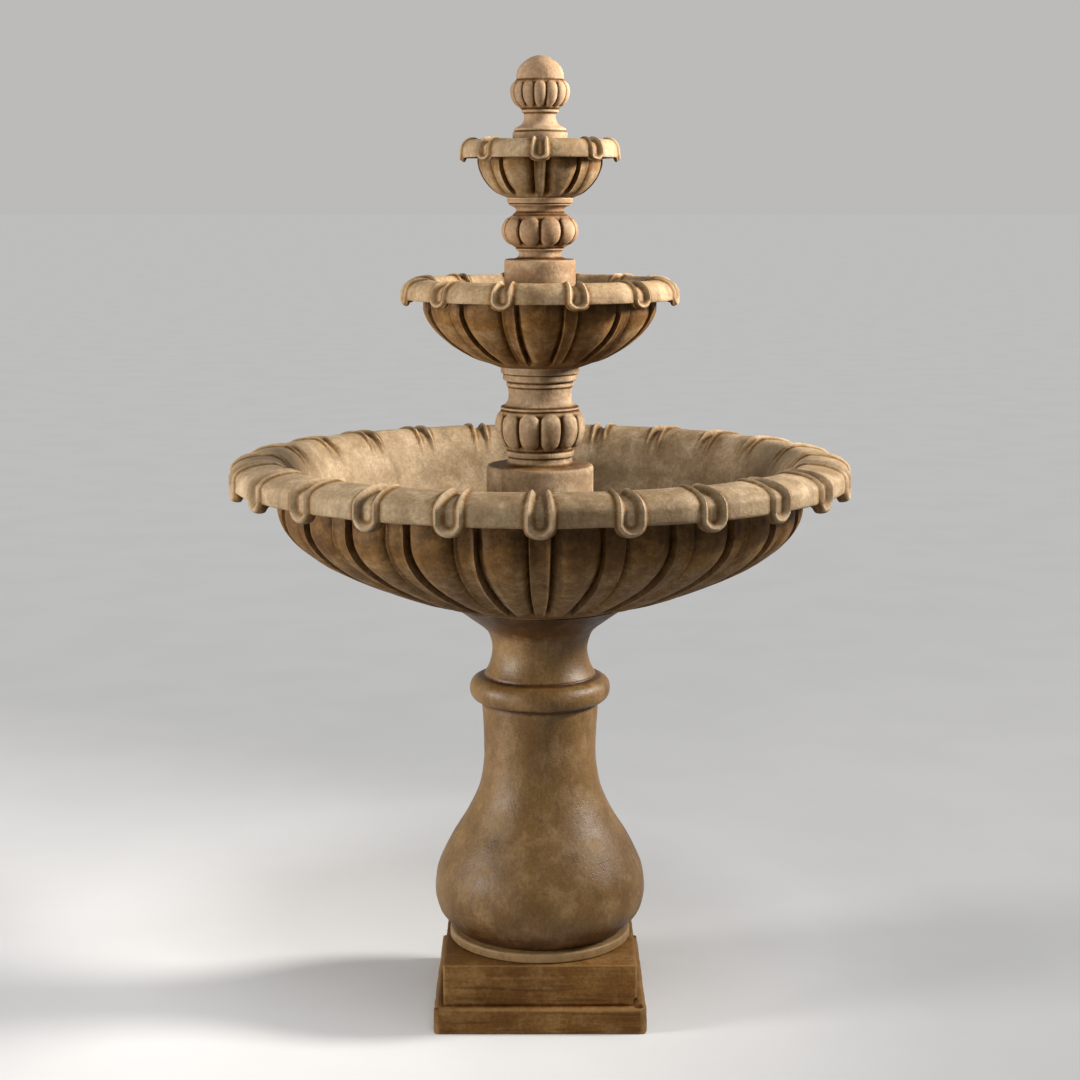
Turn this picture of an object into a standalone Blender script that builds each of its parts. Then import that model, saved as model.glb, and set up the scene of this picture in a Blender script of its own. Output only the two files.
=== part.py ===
"""A three-tier cast-stone garden fountain, stacked dry on its plinth, with the pump inside.

Metres, +Z up. The origin is the centre of the plinth's bottom face, and the front is -Y.
The tiers, balusters and finial share the Z axis, and the water tube runs up that axis.
Each lathe-turned piece is an outline of (radius, height) points swept round the axis.
"""

import math

import bmesh
import bpy

# ---------------------------------------------------------------- driving dimensions

SEAT_GAP = 0.0003              # between two pieces that rest on each other

PLINTH_SLAB_SIDE = 0.398
PLINTH_SLAB_HEIGHT = 0.050
PLINTH_BLOCK_SIDE = 0.364
PLINTH_BLOCK_HEIGHT = 0.078
PLINTH_EDGE_ROUND = 0.009
PLINTH_CORE_RADIUS = 0.090
CORD_NOTCH_WIDTH = 0.036
CORD_NOTCH_HEIGHT = 0.026

PEDESTAL_HEIGHT = 0.657
PEDESTAL_FOOT_RADIUS = 0.1745
PEDESTAL_BULB_RADIUS = 0.2020
PEDESTAL_WAIST_RADIUS = 0.1077
PEDESTAL_COLLAR_RADIUS = 0.1340
PEDESTAL_NECK_RADIUS = 0.0906
PEDESTAL_HEAD_RADIUS = 0.1720
PEDESTAL_WALL = 0.040
PEDESTAL_BORE_RADIUS = 0.045

LOWER_BALUSTER_HEIGHT = 0.398
LOWER_DRUM_WALL = 0.0223        # stone round the pump chamber
LOWER_DRUM_HEIGHT = 0.213
LOWER_BULB_RADIUS = 0.0862
LOWER_NECK_RADIUS = 0.0589
LOWER_COLLAR_RADIUS = 0.0735
LOWER_BULB_LOBES = 12
PUMP_ROOM = 0.0080             # between the pump's furthest corner and the chamber's wall
PUMP_CHAMBER_ROOF = 0.030      # stone left between the chamber and the drum's top
INLET_WIDTH = 0.034
INLET_HEIGHT = 0.022

UPPER_BALUSTER_HEIGHT = 0.278
UPPER_DRUM_RADIUS = 0.0667
UPPER_DRUM_HEIGHT = 0.166
UPPER_BULB_RADIUS = 0.0720
UPPER_NECK_RADIUS = 0.0440
UPPER_COLLAR_RADIUS = 0.0608
UPPER_BULB_LOBES = 10
TUBE_BORE_CLEARANCE = 0.004    # stone bores are cast this much wider than the tube

FINIAL_HEIGHT = 0.231
FINIAL_FOOT_RADIUS = 0.0508
FINIAL_FOOT_HEIGHT = 0.100
FINIAL_BULB_RADIUS = 0.0557
FINIAL_NECK_RADIUS = 0.0300
FINIAL_DOME_RADIUS = 0.0437
FINIAL_BULB_LOBES = 14

TUBE_OUTER_RADIUS = 0.0080
TUBE_WALL = 0.0016
TUBE_TOP_DEPTH = 0.075         # from the finial's tip down to the tube's end
OUTLET_PIPE_WALL = 0.0010
OUTLET_PIPE_ENGAGEMENT = 0.022
OUTLET_PIPE_RECESS = 0.002     # the pipe ends this far below the finial's tip
PUSH_FIT = 0.0004              # radial play of pieces pushed into each other

STOPPER_RADIUS = 0.0165
STOPPER_TAPER = 0.0012
DRAIN_RADIUS = 0.022
CORD_RADIUS = 0.0035

PUMP_WIDTH = 0.060
PUMP_HEIGHT = 0.060
PUMP_BODY_LENGTH = 0.043
PUMP_EDGE_ROUND = 0.005
VOLUTE_LENGTH = 0.024
VOLUTE_CHAMBER_RADIUS = 0.0185
VOLUTE_FRONT_WALL = 0.003
INTAKE_EYE_RADIUS = 0.0036
INTAKE_EYE_PITCH = 0.0078
OUTLET_BOSS_RADIUS = 0.0115
OUTLET_BOSS_HEIGHT = 0.008
OUTLET_BORE_RADIUS = 0.0042
COVER_LENGTH = 0.032
COVER_WALL = 0.0022
COVER_PULL = 0.020             # the intake cover draws this far forward off the pump
COVER_SLOT_COUNT = 6
COVER_SLOT_HEIGHT = 0.0028
ROTOR_RADIUS = 0.0105
ROTOR_LENGTH = 0.028
ROTOR_AIR_GAP = 0.0015
ROTOR_PROUD = 0.0010            # the magnet stands this far out of the body's front face
SHAFT_RADIUS = 0.0013
BUSHING_RADIUS = 0.0032
BUSHING_LENGTH = 0.0045
IMPELLER_RADIUS = 0.0155
IMPELLER_BLADES = 6
IMPELLER_BLADE_HEIGHT = 0.0055
IMPELLER_DISC = 0.0016
FOOT_RADIUS = 0.0095
FOOT_HEIGHT = 0.0085
DIAL_RADIUS = 0.0100
DIAL_THICKNESS = 0.0028
DIAL_STEM_RADIUS = 0.0026
SEAL_RADIUS = 0.0232
SEAL_SECTION = 0.0012
NIPPLE_FLANGE_HEIGHT = 0.006
NIPPLE_BARB_HEIGHT = 0.022
CLAMP_BAND = 0.0010
CLAMP_WIDTH = 0.0085
CLAMP_SCREW_RADIUS = 0.0018
GLAND_RADIUS = 0.0065
GLAND_LENGTH = 0.014

FRONT = -math.pi / 2           # the direction of -Y round the Z axis
WIDEST_COLUMN = math.radians(11)


class BowlSize:
    """The driving sizes of one bowl; heights are counted from the bowl's own foot.

    The body's waist lies the overhang inside the rim, and the crest lies the roll inside it.
    """

    def __init__(self, **sizes):
        self.__dict__.update(sizes)


LOWER_BOWL = BowlSize(
    height=0.283, foot_radius=0.165, rim_radius=0.5775, overhang=0.0905, roll=0.0695,
    waist_height=0.190, lip_depth=0.052, floor_thickness=0.050,
    floor_radius=0.190, wall=0.040, belly=0.543, belly_rise=0.29, hole_radius=DRAIN_RADIUS,
    spouts=24, first_spout=FRONT, tongue_reach=0.006, tongue_drop=0.019,
    tongue_width=0.054, crest_dip=0.008, groove=0.006)

MIDDLE_BOWL = BowlSize(
    height=0.163, foot_radius=0.080, rim_radius=0.2580, overhang=0.0450, roll=0.0380,
    waist_height=0.104, lip_depth=0.037, floor_thickness=0.032,
    floor_radius=0.090, wall=0.024, belly=0.530, belly_rise=0.25, hole_radius=STOPPER_RADIUS,
    spouts=12, first_spout=FRONT + math.pi / 12, tongue_reach=0.005, tongue_drop=0.012,
    tongue_width=0.042, crest_dip=0.006, groove=0.004)

TOP_BOWL = BowlSize(
    height=0.106, foot_radius=0.061, rim_radius=0.1440, overhang=0.0315, roll=0.0220,
    waist_height=0.066, lip_depth=0.034, floor_thickness=0.026,
    floor_radius=0.060, wall=0.018, belly=0.500, belly_rise=0.16, hole_radius=STOPPER_RADIUS,
    spouts=8, first_spout=FRONT, tongue_reach=0.005, tongue_drop=0.008,
    tongue_width=0.036, crest_dip=0.005, groove=0.003)

# ---------------------------------------------------------------- the stack, from the ground up

PLINTH_TOP = PLINTH_SLAB_HEIGHT + PLINTH_BLOCK_HEIGHT
LOWER_BOWL_BASE = PLINTH_TOP + PEDESTAL_HEIGHT
LOWER_FLOOR = LOWER_BOWL_BASE + LOWER_BOWL.floor_thickness
MIDDLE_BOWL_BASE = LOWER_FLOOR + LOWER_BALUSTER_HEIGHT
MIDDLE_FLOOR = MIDDLE_BOWL_BASE + MIDDLE_BOWL.floor_thickness
TOP_BOWL_BASE = MIDDLE_FLOOR + UPPER_BALUSTER_HEIGHT
TOP_FLOOR = TOP_BOWL_BASE + TOP_BOWL.floor_thickness
FINIAL_TOP = TOP_FLOOR + FINIAL_HEIGHT

# The pump stands on the lower bowl's floor with its outlet on the Z axis.
PUMP_AXIS_Z = LOWER_FLOOR + FOOT_HEIGHT + SEAT_GAP + PUMP_HEIGHT / 2
VOLUTE_FRONT = -VOLUTE_LENGTH / 2
VOLUTE_BACK = VOLUTE_LENGTH / 2
BODY_FRONT = VOLUTE_BACK + SEAT_GAP
BODY_BACK = BODY_FRONT + PUMP_BODY_LENGTH
COVER_BACK = VOLUTE_FRONT - SEAT_GAP
COVER_FRONT = COVER_BACK - COVER_LENGTH
PUMP_REACH = max(BODY_BACK + GLAND_LENGTH, math.hypot(PUMP_WIDTH / 2, BODY_BACK),
                 math.hypot(PUMP_WIDTH / 2, COVER_FRONT - COVER_PULL))
PUMP_CHAMBER_RADIUS = PUMP_REACH + PUMP_ROOM
LOWER_DRUM_RADIUS = PUMP_CHAMBER_RADIUS + LOWER_DRUM_WALL
BOSS_TOP = PUMP_AXIS_Z + PUMP_HEIGHT / 2 + OUTLET_BOSS_HEIGHT
NIPPLE_FLANGE_TOP = BOSS_TOP + SEAT_GAP + NIPPLE_FLANGE_HEIGHT
TUBE_BOTTOM = NIPPLE_FLANGE_TOP + SEAT_GAP
TUBE_TOP = FINIAL_TOP - TUBE_TOP_DEPTH
TUBE_INNER_RADIUS = TUBE_OUTER_RADIUS - TUBE_WALL
TUBE_BORE_RADIUS = TUBE_OUTER_RADIUS + TUBE_BORE_CLEARANCE
PIPE_OUTER_RADIUS = TUBE_INNER_RADIUS - PUSH_FIT
WELL_RADIUS = ROTOR_RADIUS + ROTOR_AIR_GAP
ROTOR_FRONT = BODY_FRONT - ROTOR_PROUD
ROTOR_BACK = ROTOR_FRONT + ROTOR_LENGTH
WELL_BACK = ROTOR_BACK + 0.0012

# ---------------------------------------------------------------- shared making

for old in list(bpy.data.objects):
    bpy.data.objects.remove(old)


def material(name, colour, roughness, metallic=0.0):
    """One Principled finish."""
    made = bpy.data.materials.new(name)
    made.use_nodes = True
    shader = made.node_tree.nodes["Principled BSDF"]
    shader.inputs["Base Color"].default_value = (*colour, 1.0)
    shader.inputs["Roughness"].default_value = roughness
    shader.inputs["Metallic"].default_value = metallic
    return made


CAST_STONE = (0.36, 0.24, 0.16)
DARK_STONE = (0.17, 0.11, 0.07)
BLACK_RUBBER = (0.02, 0.02, 0.02)
PUMP_BLACK = (0.03, 0.035, 0.04)


def add_object(name, mesh_data, finish):
    """Links one mesh as the named piece, with its own finish."""
    made = bpy.data.objects.new(name, mesh_data)
    bpy.context.scene.collection.objects.link(made)
    made.data.materials.append(finish)
    return made


def from_bmesh(name, shape, finish, sharp_degrees=35.0):
    """Writes a bmesh to a smooth-shaded object whose faces point out."""
    bmesh.ops.recalc_face_normals(shape, faces=shape.faces)
    data = bpy.data.meshes.new(name)
    shape.to_mesh(data)
    shape.free()
    data.shade_smooth()
    data.set_sharp_from_angle(angle=math.radians(sharp_degrees))
    return add_object(name, data, finish)


def even_angles(columns, start=FRONT):
    """Angles of evenly spaced columns round the Z axis."""
    return [start + 2 * math.pi * k / columns for k in range(columns)]


def sweep(shape, outline, angles, carve=None):
    """Adds a closed ring outline of (radius, height) swept round Z, at the given angles.

    carve(index, radius, height, angle) may move a point of the outline at one angle.
    """
    columns = []
    for angle in angles:
        column = []
        for index, (radius, height) in enumerate(outline):
            if carve:
                radius, height = carve(index, radius, height, angle)
            point = (radius * math.cos(angle), radius * math.sin(angle), height)
            column.append(shape.verts.new(point))
        columns.append(column)
    for k, here in enumerate(columns):
        following = columns[(k + 1) % len(columns)]
        for i in range(len(outline)):
            j = (i + 1) % len(outline)
            shape.faces.new((here[i], following[i], following[j], here[j]))


def turned(name, outline, finish, angles, carve=None):
    """One closed ring-shaped piece of revolution about Z."""
    shape = bmesh.new()
    sweep(shape, outline, angles, carve)
    return from_bmesh(name, shape, finish)


def lay_along_y(made, y, z):
    """Turns a piece modelled about Z so that its axis lies along +Y, at height z."""
    made.rotation_euler = (-math.pi / 2, 0.0, 0.0)
    made.location = (0.0, y, z)
    return made


def spline(points, steps):
    """A smooth line through a few (radius, height) points, each stretch cut into steps."""
    padded = [points[0], *points, points[-1]]
    line = []
    for a, b, c, d in zip(padded, padded[1:], padded[2:], padded[3:]):
        for k in range(steps):
            t = k / steps
            line.append(tuple(
                0.5 * (2 * q + (r - p) * t + (2 * p - 5 * q + 4 * r - s) * t * t
                       + (3 * q - p - 3 * r + s) * t ** 3)
                for p, q, r, s in zip(a, b, c, d)))
    return [*line, points[-1]]


def bezier(start, start_handle, end_handle, end, steps):
    """A cubic curve from start to end, both ends included."""
    line = []
    for k in range(steps + 1):
        t = k / steps
        line.append(tuple(
            (1 - t) ** 3 * a + 3 * (1 - t) ** 2 * t * b + 3 * (1 - t) * t * t * c + t ** 3 * d
            for a, b, c, d in zip(start, start_handle, end_handle, end)))
    return line


def raised(points, base):
    """Moves an outline up to its place in the stack."""
    return [(radius, base + height) for radius, height in points]


def add_box(shape, low, high):
    """Adds a box between two corners to a bmesh and returns its vertices."""
    centre = [(a + b) / 2 for a, b in zip(low, high)]
    made = bmesh.ops.create_cube(shape, size=1.0)["verts"]
    bmesh.ops.scale(shape, vec=[b - a for a, b in zip(low, high)], verts=made)
    bmesh.ops.translate(shape, vec=centre, verts=made)
    return made


def box(name, low, high, finish, edge=0.0, segments=2, square_at=()):
    """A box with rounded edges, except round its faces at the y values given in square_at."""
    shape = bmesh.new()
    add_box(shape, low, high)
    rounded = [seam for seam in shape.edges
               if not any(all(abs(end.co.y - y) < 1e-6 for end in seam.verts) for y in square_at)]
    bmesh.ops.bevel(shape, geom=rounded, offset=edge, segments=segments, profile=0.5,
                    affect="EDGES")
    return from_bmesh(name, shape, finish)


def hide_cutter(cutter):
    """A tool shape that is not a piece of the fountain."""
    cutter.hide_render = True
    cutter.display_type = "WIRE"
    return cutter


def rod_cutter(name, radius, start, end, segments=24):
    """A hidden cylinder between two points, for boring a hole."""
    shape = bmesh.new()
    length = math.dist(start, end)
    bmesh.ops.create_cone(shape, cap_ends=True, segments=segments, radius1=radius,
                          radius2=radius, depth=length)
    data = bpy.data.meshes.new(name)
    shape.to_mesh(data)
    shape.free()
    rod = bpy.data.objects.new(name, data)
    bpy.context.scene.collection.objects.link(rod)
    rod.location = [(a + b) / 2 for a, b in zip(start, end)]
    if abs(end[1] - start[1]) > 0:
        rod.rotation_euler = (math.pi / 2, 0.0, 0.0)
    elif abs(end[0] - start[0]) > 0:
        rod.rotation_euler = (0.0, math.pi / 2, 0.0)
    return hide_cutter(rod)


def box_cutter(name, low, high, edge=0.0):
    """A hidden box between two corners, with chamfered edges if asked."""
    shape = bmesh.new()
    add_box(shape, low, high)
    if edge:
        bmesh.ops.bevel(shape, geom=shape.edges[:], offset=edge, segments=1, profile=0.5,
                        affect="EDGES")
    data = bpy.data.meshes.new(name)
    shape.to_mesh(data)
    shape.free()
    block = bpy.data.objects.new(name, data)
    bpy.context.scene.collection.objects.link(block)
    return hide_cutter(block)


def boolean(target, tool, operation="DIFFERENCE"):
    """Cuts or joins with a tool shape."""
    step = target.modifiers.new(tool.name, "BOOLEAN")
    step.object = tool
    step.operation = operation
    step.solver = "EXACT"


# ---------------------------------------------------------------- plinth and pedestal


def make_plinth():
    """A square base slab with a block on it, cored through, and a notch for the pump's cord."""
    half_slab = PLINTH_SLAB_SIDE / 2
    half_block = PLINTH_BLOCK_SIDE / 2
    finish = material("plinth_stone", DARK_STONE, 0.75)
    plinth = box("plinth", (-half_slab, -half_slab, 0), (half_slab, half_slab, PLINTH_SLAB_HEIGHT),
                 finish, PLINTH_EDGE_ROUND)
    block = box("plinth_block", (-half_block, -half_block, PLINTH_SLAB_HEIGHT / 2),
                (half_block, half_block, PLINTH_TOP), finish, PLINTH_EDGE_ROUND / 2, 1)
    boolean(plinth, hide_cutter(block), "UNION")
    core = rod_cutter("plinth_core", PLINTH_CORE_RADIUS, (0, 0, -0.01), (0, 0, PLINTH_TOP + 0.01), 32)
    boolean(plinth, core)
    notch = box_cutter("cord_notch", (-CORD_NOTCH_WIDTH / 2, 0.0, -0.01),
                       (CORD_NOTCH_WIDTH / 2, half_slab + 0.01, CORD_NOTCH_HEIGHT))
    boolean(plinth, notch)


def make_pedestal():
    """The bulbous hollow pedestal, from its foot ring to the head under the lower bowl."""
    base = PLINTH_TOP + SEAT_GAP
    height = PEDESTAL_HEIGHT - SEAT_GAP
    foot_ring = 0.019
    bulb = PEDESTAL_BULB_RADIUS
    waist = PEDESTAL_WAIST_RADIUS
    neck = PEDESTAL_NECK_RADIUS
    collar = PEDESTAL_COLLAR_RADIUS
    foot = [(PEDESTAL_FOOT_RADIUS - 0.003, 0.0), (PEDESTAL_FOOT_RADIUS, 0.004),
            (PEDESTAL_FOOT_RADIUS, foot_ring - 0.004), (PEDESTAL_FOOT_RADIUS - 0.004, foot_ring)]
    body = spline([(bulb * 0.81, foot_ring + 0.004), (bulb * 0.985, height * 0.118),
                   (bulb, height * 0.155), (bulb * 0.90, height * 0.272),
                   (bulb * 0.66, height * 0.394), (waist, height * 0.540),
                   (waist * 1.015, height * 0.690)], 2)
    ring = [(collar * 0.93, height * 0.706), (collar, height * 0.748),
            (collar * 0.93, height * 0.788), (collar * 0.80, height * 0.806)]
    head = spline([(neck * 1.05, height * 0.820), (neck, height * 0.862),
                   (neck * 1.10, height * 0.920), (PEDESTAL_HEAD_RADIUS * 0.82, height * 0.965),
                   (PEDESTAL_HEAD_RADIUS, height * 0.992)], 2)
    top = [(PEDESTAL_HEAD_RADIUS - 0.004, height)]
    bore = PEDESTAL_BORE_RADIUS
    inside = [(bore, height), (bore, height * 0.55),
              (bulb * 0.90 - PEDESTAL_WALL, height * 0.272), (bulb - PEDESTAL_WALL, height * 0.155),
              (PEDESTAL_FOOT_RADIUS - PEDESTAL_WALL, 0.0)]
    outline = raised([*foot, *body, *ring, *head, *top, *inside], base)
    turned("pedestal", outline, material("pedestal_stone", CAST_STONE, 0.6), even_angles(28))


# ---------------------------------------------------------------- bowls


def bowl_outline(size):
    """The ring section of a bowl: underside, lip and inside, with the lip points' indices."""
    crest = size.height
    lip_low = crest - size.lip_depth
    waist = size.rim_radius - size.overhang
    span = waist - size.foot_radius
    rise = size.waist_height
    under = bezier((size.foot_radius, 0.0),
                   (size.foot_radius + size.belly * span, size.belly_rise * rise),
                   (waist, 0.605 * rise), (waist, rise), 5)
    crest_radius = size.rim_radius - size.roll
    lip = [(waist + 0.12 * size.overhang, lip_low + 0.22 * size.lip_depth),
           (size.rim_radius - 0.25 * size.overhang, lip_low),
           (size.rim_radius, lip_low + 0.18 * size.lip_depth),
           (size.rim_radius - 0.06 * size.roll, crest - 0.42 * size.lip_depth),
           (size.rim_radius - 0.35 * size.roll, crest - 0.10 * size.lip_depth),
           (crest_radius, crest),
           (crest_radius - 0.5 * size.wall, crest - 0.20 * size.lip_depth)]
    inner_top = waist - size.wall
    inside = bezier((inner_top, size.waist_height + 0.15 * size.lip_depth),
                    (inner_top, 0.62 * rise + 0.35 * size.floor_thickness),
                    (size.floor_radius + 0.55 * (inner_top - size.floor_radius),
                     size.floor_thickness + 0.10 * rise),
                    (size.floor_radius, size.floor_thickness), 4)
    outline = [(size.hole_radius, 0.0), *under, *lip, *inside,
               (size.hole_radius, size.floor_thickness)]
    first_lip = 1 + len(under)
    return outline, first_lip, first_lip + len(lip)


def bowl_angles(size):
    """Columns on each spout's edges and middle, and midway to the next where that is far."""
    pitch = 2 * math.pi / size.spouts
    half_tongue = size.tongue_width / 2 / size.rim_radius
    offsets = [-half_tongue, 0.0, half_tongue]
    if pitch - 2 * half_tongue > WIDEST_COLUMN:
        offsets.append(pitch / 2)
    return [size.first_spout + k * pitch + offset
            for k in range(size.spouts) for offset in offsets]


def make_bowl(name, base, size):
    """A bowl whose rim rolls out into a drooping lip, with a tongue-shaped spout at each pitch."""
    outline, first_lip, after_lip = bowl_outline(size)
    pitch = 2 * math.pi / size.spouts
    half_tongue = size.tongue_width / 2 / size.rim_radius

    def carve(index, radius, height, angle):
        away = abs((angle - size.first_spout + pitch / 2) % pitch - pitch / 2)
        on_edge = abs(away - half_tongue) < 1e-6
        on_tongue = away < half_tongue + 1e-6
        underside = 2 < index < first_lip
        if underside and on_edge:
            radius -= size.groove
        lip_row = index - first_lip
        if on_tongue and 1 <= lip_row <= 3:
            radius += size.tongue_reach
        if on_tongue and 1 <= lip_row <= 2:
            height -= size.tongue_drop * (0.5 if on_edge else 1.0)
        if away < 1e-6 and 4 <= lip_row < after_lip - first_lip:
            height -= size.crest_dip
        return radius, height + base + SEAT_GAP

    stone = material(name + "_stone", CAST_STONE, 0.65)
    outline = [(radius, height - (SEAT_GAP if height > 0 else 0)) for radius, height in outline]
    return turned(name, outline, stone, bowl_angles(size), carve)


# ---------------------------------------------------------------- balusters and finial


def lobed(count, outer_points, low, high, depth, phase):
    """A carve for a gadrooned bulb: round lobes with sharp grooves between two heights.

    Only the outline's outer points are carved, so that the bore stays round.
    """
    def carve(index, radius, height, angle):
        if index < outer_points and low < height < high:
            swell = math.sin(math.pi * (height - low) / (high - low))
            across = ((angle - FRONT) * count / (2 * math.pi) + phase) % 1.0
            radius -= depth * swell * (2 * abs(across - 0.5)) ** 2
        return radius, height
    return carve


def make_lower_baluster():
    """The drum foot that houses the pump, and the gadrooned baluster under the middle bowl."""
    base = LOWER_FLOOR + SEAT_GAP
    height = LOWER_BALUSTER_HEIGHT - SEAT_GAP
    drum = LOWER_DRUM_RADIUS
    shaft = height - LOWER_DRUM_HEIGHT
    bulb = LOWER_BULB_RADIUS
    neck = LOWER_NECK_RADIUS
    collar = LOWER_COLLAR_RADIUS

    def at(share):
        return LOWER_DRUM_HEIGHT + share * shaft

    outer = [(drum, 0.0), (drum, LOWER_DRUM_HEIGHT - 0.006), (drum - 0.005, LOWER_DRUM_HEIGHT),
             (neck * 1.10, at(0.005)), (neck * 1.02, at(0.06)), (neck * 1.08, at(0.12)),
             (neck * 1.09, at(0.16)), (bulb * 0.78, at(0.19)), (bulb * 0.94, at(0.30)),
             (bulb, at(0.42)), (bulb * 0.95, at(0.53)), (bulb * 0.80, at(0.585)),
             (collar, at(0.60)), (neck * 1.06, at(0.66)), (neck, at(0.74)),
             (neck * 1.06, at(0.82)), (collar * 0.93, at(0.86)), (collar, at(0.93)),
             (collar, height)]
    roof = LOWER_DRUM_HEIGHT - PUMP_CHAMBER_ROOF
    inner = [(TUBE_BORE_RADIUS, height), (TUBE_BORE_RADIUS, roof), (PUMP_CHAMBER_RADIUS, roof),
             (PUMP_CHAMBER_RADIUS, 0.0)]
    carve = lobed(LOWER_BULB_LOBES, len(outer), base + at(0.17), base + at(0.595), 0.007, 0.0)
    baluster = turned("lower_baluster", raised([*outer, *inner], base),
                      material("lower_baluster_stone", CAST_STONE, 0.65),
                      even_angles(3 * LOWER_BULB_LOBES), carve)
    reach = LOWER_DRUM_RADIUS + 0.01
    half = INLET_WIDTH / 2
    for name, across_x in (("inlets_left_right", True), ("inlets_front_back", False)):
        size = (reach, half) if across_x else (half, reach)
        boolean(baluster, box_cutter(name, (-size[0], -size[1], base - 0.01),
                                     (size[0], size[1], base + INLET_HEIGHT)))


def make_upper_baluster():
    """The riser drum and gadrooned baluster between the middle bowl and the top bowl."""
    base = MIDDLE_FLOOR + SEAT_GAP
    height = UPPER_BALUSTER_HEIGHT - SEAT_GAP
    drum = UPPER_DRUM_RADIUS
    shaft = height - UPPER_DRUM_HEIGHT
    bulb = UPPER_BULB_RADIUS
    neck = UPPER_NECK_RADIUS
    collar = UPPER_COLLAR_RADIUS

    def at(share):
        return UPPER_DRUM_HEIGHT + share * shaft

    outer = [(drum, 0.0), (drum, UPPER_DRUM_HEIGHT - 0.004), (drum - 0.005, UPPER_DRUM_HEIGHT),
             (neck * 0.95, at(0.02)), (neck * 0.90, at(0.13)), (neck * 1.12, at(0.17)),
             (bulb * 0.72, at(0.215)), (bulb * 0.90, at(0.31)), (bulb, at(0.44)),
             (bulb * 0.96, at(0.59)), (bulb * 0.78, at(0.70)), (neck * 1.08, at(0.73)),
             (neck, at(0.80)), (neck * 1.08, at(0.87)), (collar * 0.955, at(0.89)),
             (collar, at(0.95)), (collar, height)]
    inner = [(TUBE_BORE_RADIUS, height), (TUBE_BORE_RADIUS, 0.0)]
    carve = lobed(UPPER_BULB_LOBES, len(outer), base + at(0.19), base + at(0.71), 0.006, 0.0)
    turned("upper_baluster", raised([*outer, *inner], base),
           material("upper_baluster_stone", CAST_STONE, 0.65),
           even_angles(3 * UPPER_BULB_LOBES), carve)


def make_finial():
    """The acorn finial on its disc foot, bored for the tube and the outlet pipe."""
    base = TOP_FLOOR + SEAT_GAP
    height = FINIAL_HEIGHT - SEAT_GAP
    stem = height - FINIAL_FOOT_HEIGHT
    bulb = FINIAL_BULB_RADIUS
    neck = FINIAL_NECK_RADIUS
    dome = FINIAL_DOME_RADIUS
    foot = FINIAL_FOOT_RADIUS

    def at(share):
        return FINIAL_FOOT_HEIGHT + share * stem

    pipe_bore = PIPE_OUTER_RADIUS + PUSH_FIT
    outer = [(foot, 0.0), (foot, FINIAL_FOOT_HEIGHT - 0.004), (foot - 0.004, FINIAL_FOOT_HEIGHT),
             (neck * 1.2, at(0.08)), (neck, at(0.19)), (neck * 1.13, at(0.235)),
             (neck * 1.2, at(0.26)), (bulb * 0.74, at(0.30)), (bulb * 0.93, at(0.39)),
             (bulb, at(0.52)), (bulb * 0.94, at(0.62)), (dome, at(0.67)), (dome * 0.97, at(0.76)),
             (dome * 0.82, at(0.86)), (dome * 0.56, at(0.95)), (pipe_bore + 0.001, height)]
    shoulder = FINIAL_HEIGHT - TUBE_TOP_DEPTH + 0.003
    inner = [(pipe_bore, height), (pipe_bore, shoulder), (TUBE_BORE_RADIUS, shoulder),
             (TUBE_BORE_RADIUS, 0.0)]
    carve = lobed(FINIAL_BULB_LOBES, len(outer), base + at(0.28), base + at(0.655), 0.004, 0.5)
    turned("finial", raised([*outer, *inner], base), material("finial_stone", CAST_STONE, 0.65),
           even_angles(2 * FINIAL_BULB_LOBES), carve)


# ---------------------------------------------------------------- water line


def ring_outline(inner, outer, low, high):
    """A plain square-edged ring section."""
    return [(outer, low), (outer, high), (inner, high), (inner, low)]


def make_water_line():
    """The vinyl tube, the copper outlet pipe in its top end and the rubber stoppers round it."""
    turned("supply_tube", ring_outline(TUBE_INNER_RADIUS, TUBE_OUTER_RADIUS, TUBE_BOTTOM, TUBE_TOP),
           material("clear_vinyl", (0.75, 0.80, 0.80), 0.2), even_angles(16))
    turned("outlet_pipe",
           ring_outline(PIPE_OUTER_RADIUS - OUTLET_PIPE_WALL, PIPE_OUTER_RADIUS,
                        TUBE_TOP - OUTLET_PIPE_ENGAGEMENT, FINIAL_TOP - OUTLET_PIPE_RECESS),
           material("copper", (0.60, 0.28, 0.17), 0.35, 1.0), even_angles(16))
    for name, base, thickness, hole, bore in (
            ("middle_bowl_stopper", MIDDLE_BOWL_BASE, MIDDLE_BOWL.floor_thickness,
             MIDDLE_BOWL.hole_radius, TUBE_OUTER_RADIUS + PUSH_FIT),
            ("top_bowl_stopper", TOP_BOWL_BASE, TOP_BOWL.floor_thickness,
             TOP_BOWL.hole_radius, TUBE_OUTER_RADIUS + PUSH_FIT),
            ("drain_stopper", LOWER_BOWL_BASE, LOWER_BOWL.floor_thickness,
             LOWER_BOWL.hole_radius, CORD_RADIUS)):
        top = base + thickness - 0.001
        low = base + 0.25 * thickness
        wide = hole - PUSH_FIT
        outline = [(wide - STOPPER_TAPER - 0.0008, low), (wide - STOPPER_TAPER, low + 0.001),
                   (wide, top - 0.001), (wide - 0.0008, top), (bore, top), (bore, low)]
        turned(name, outline, material(name + "_rubber", BLACK_RUBBER, 0.7), even_angles(20))


# ---------------------------------------------------------------- pump


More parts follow.
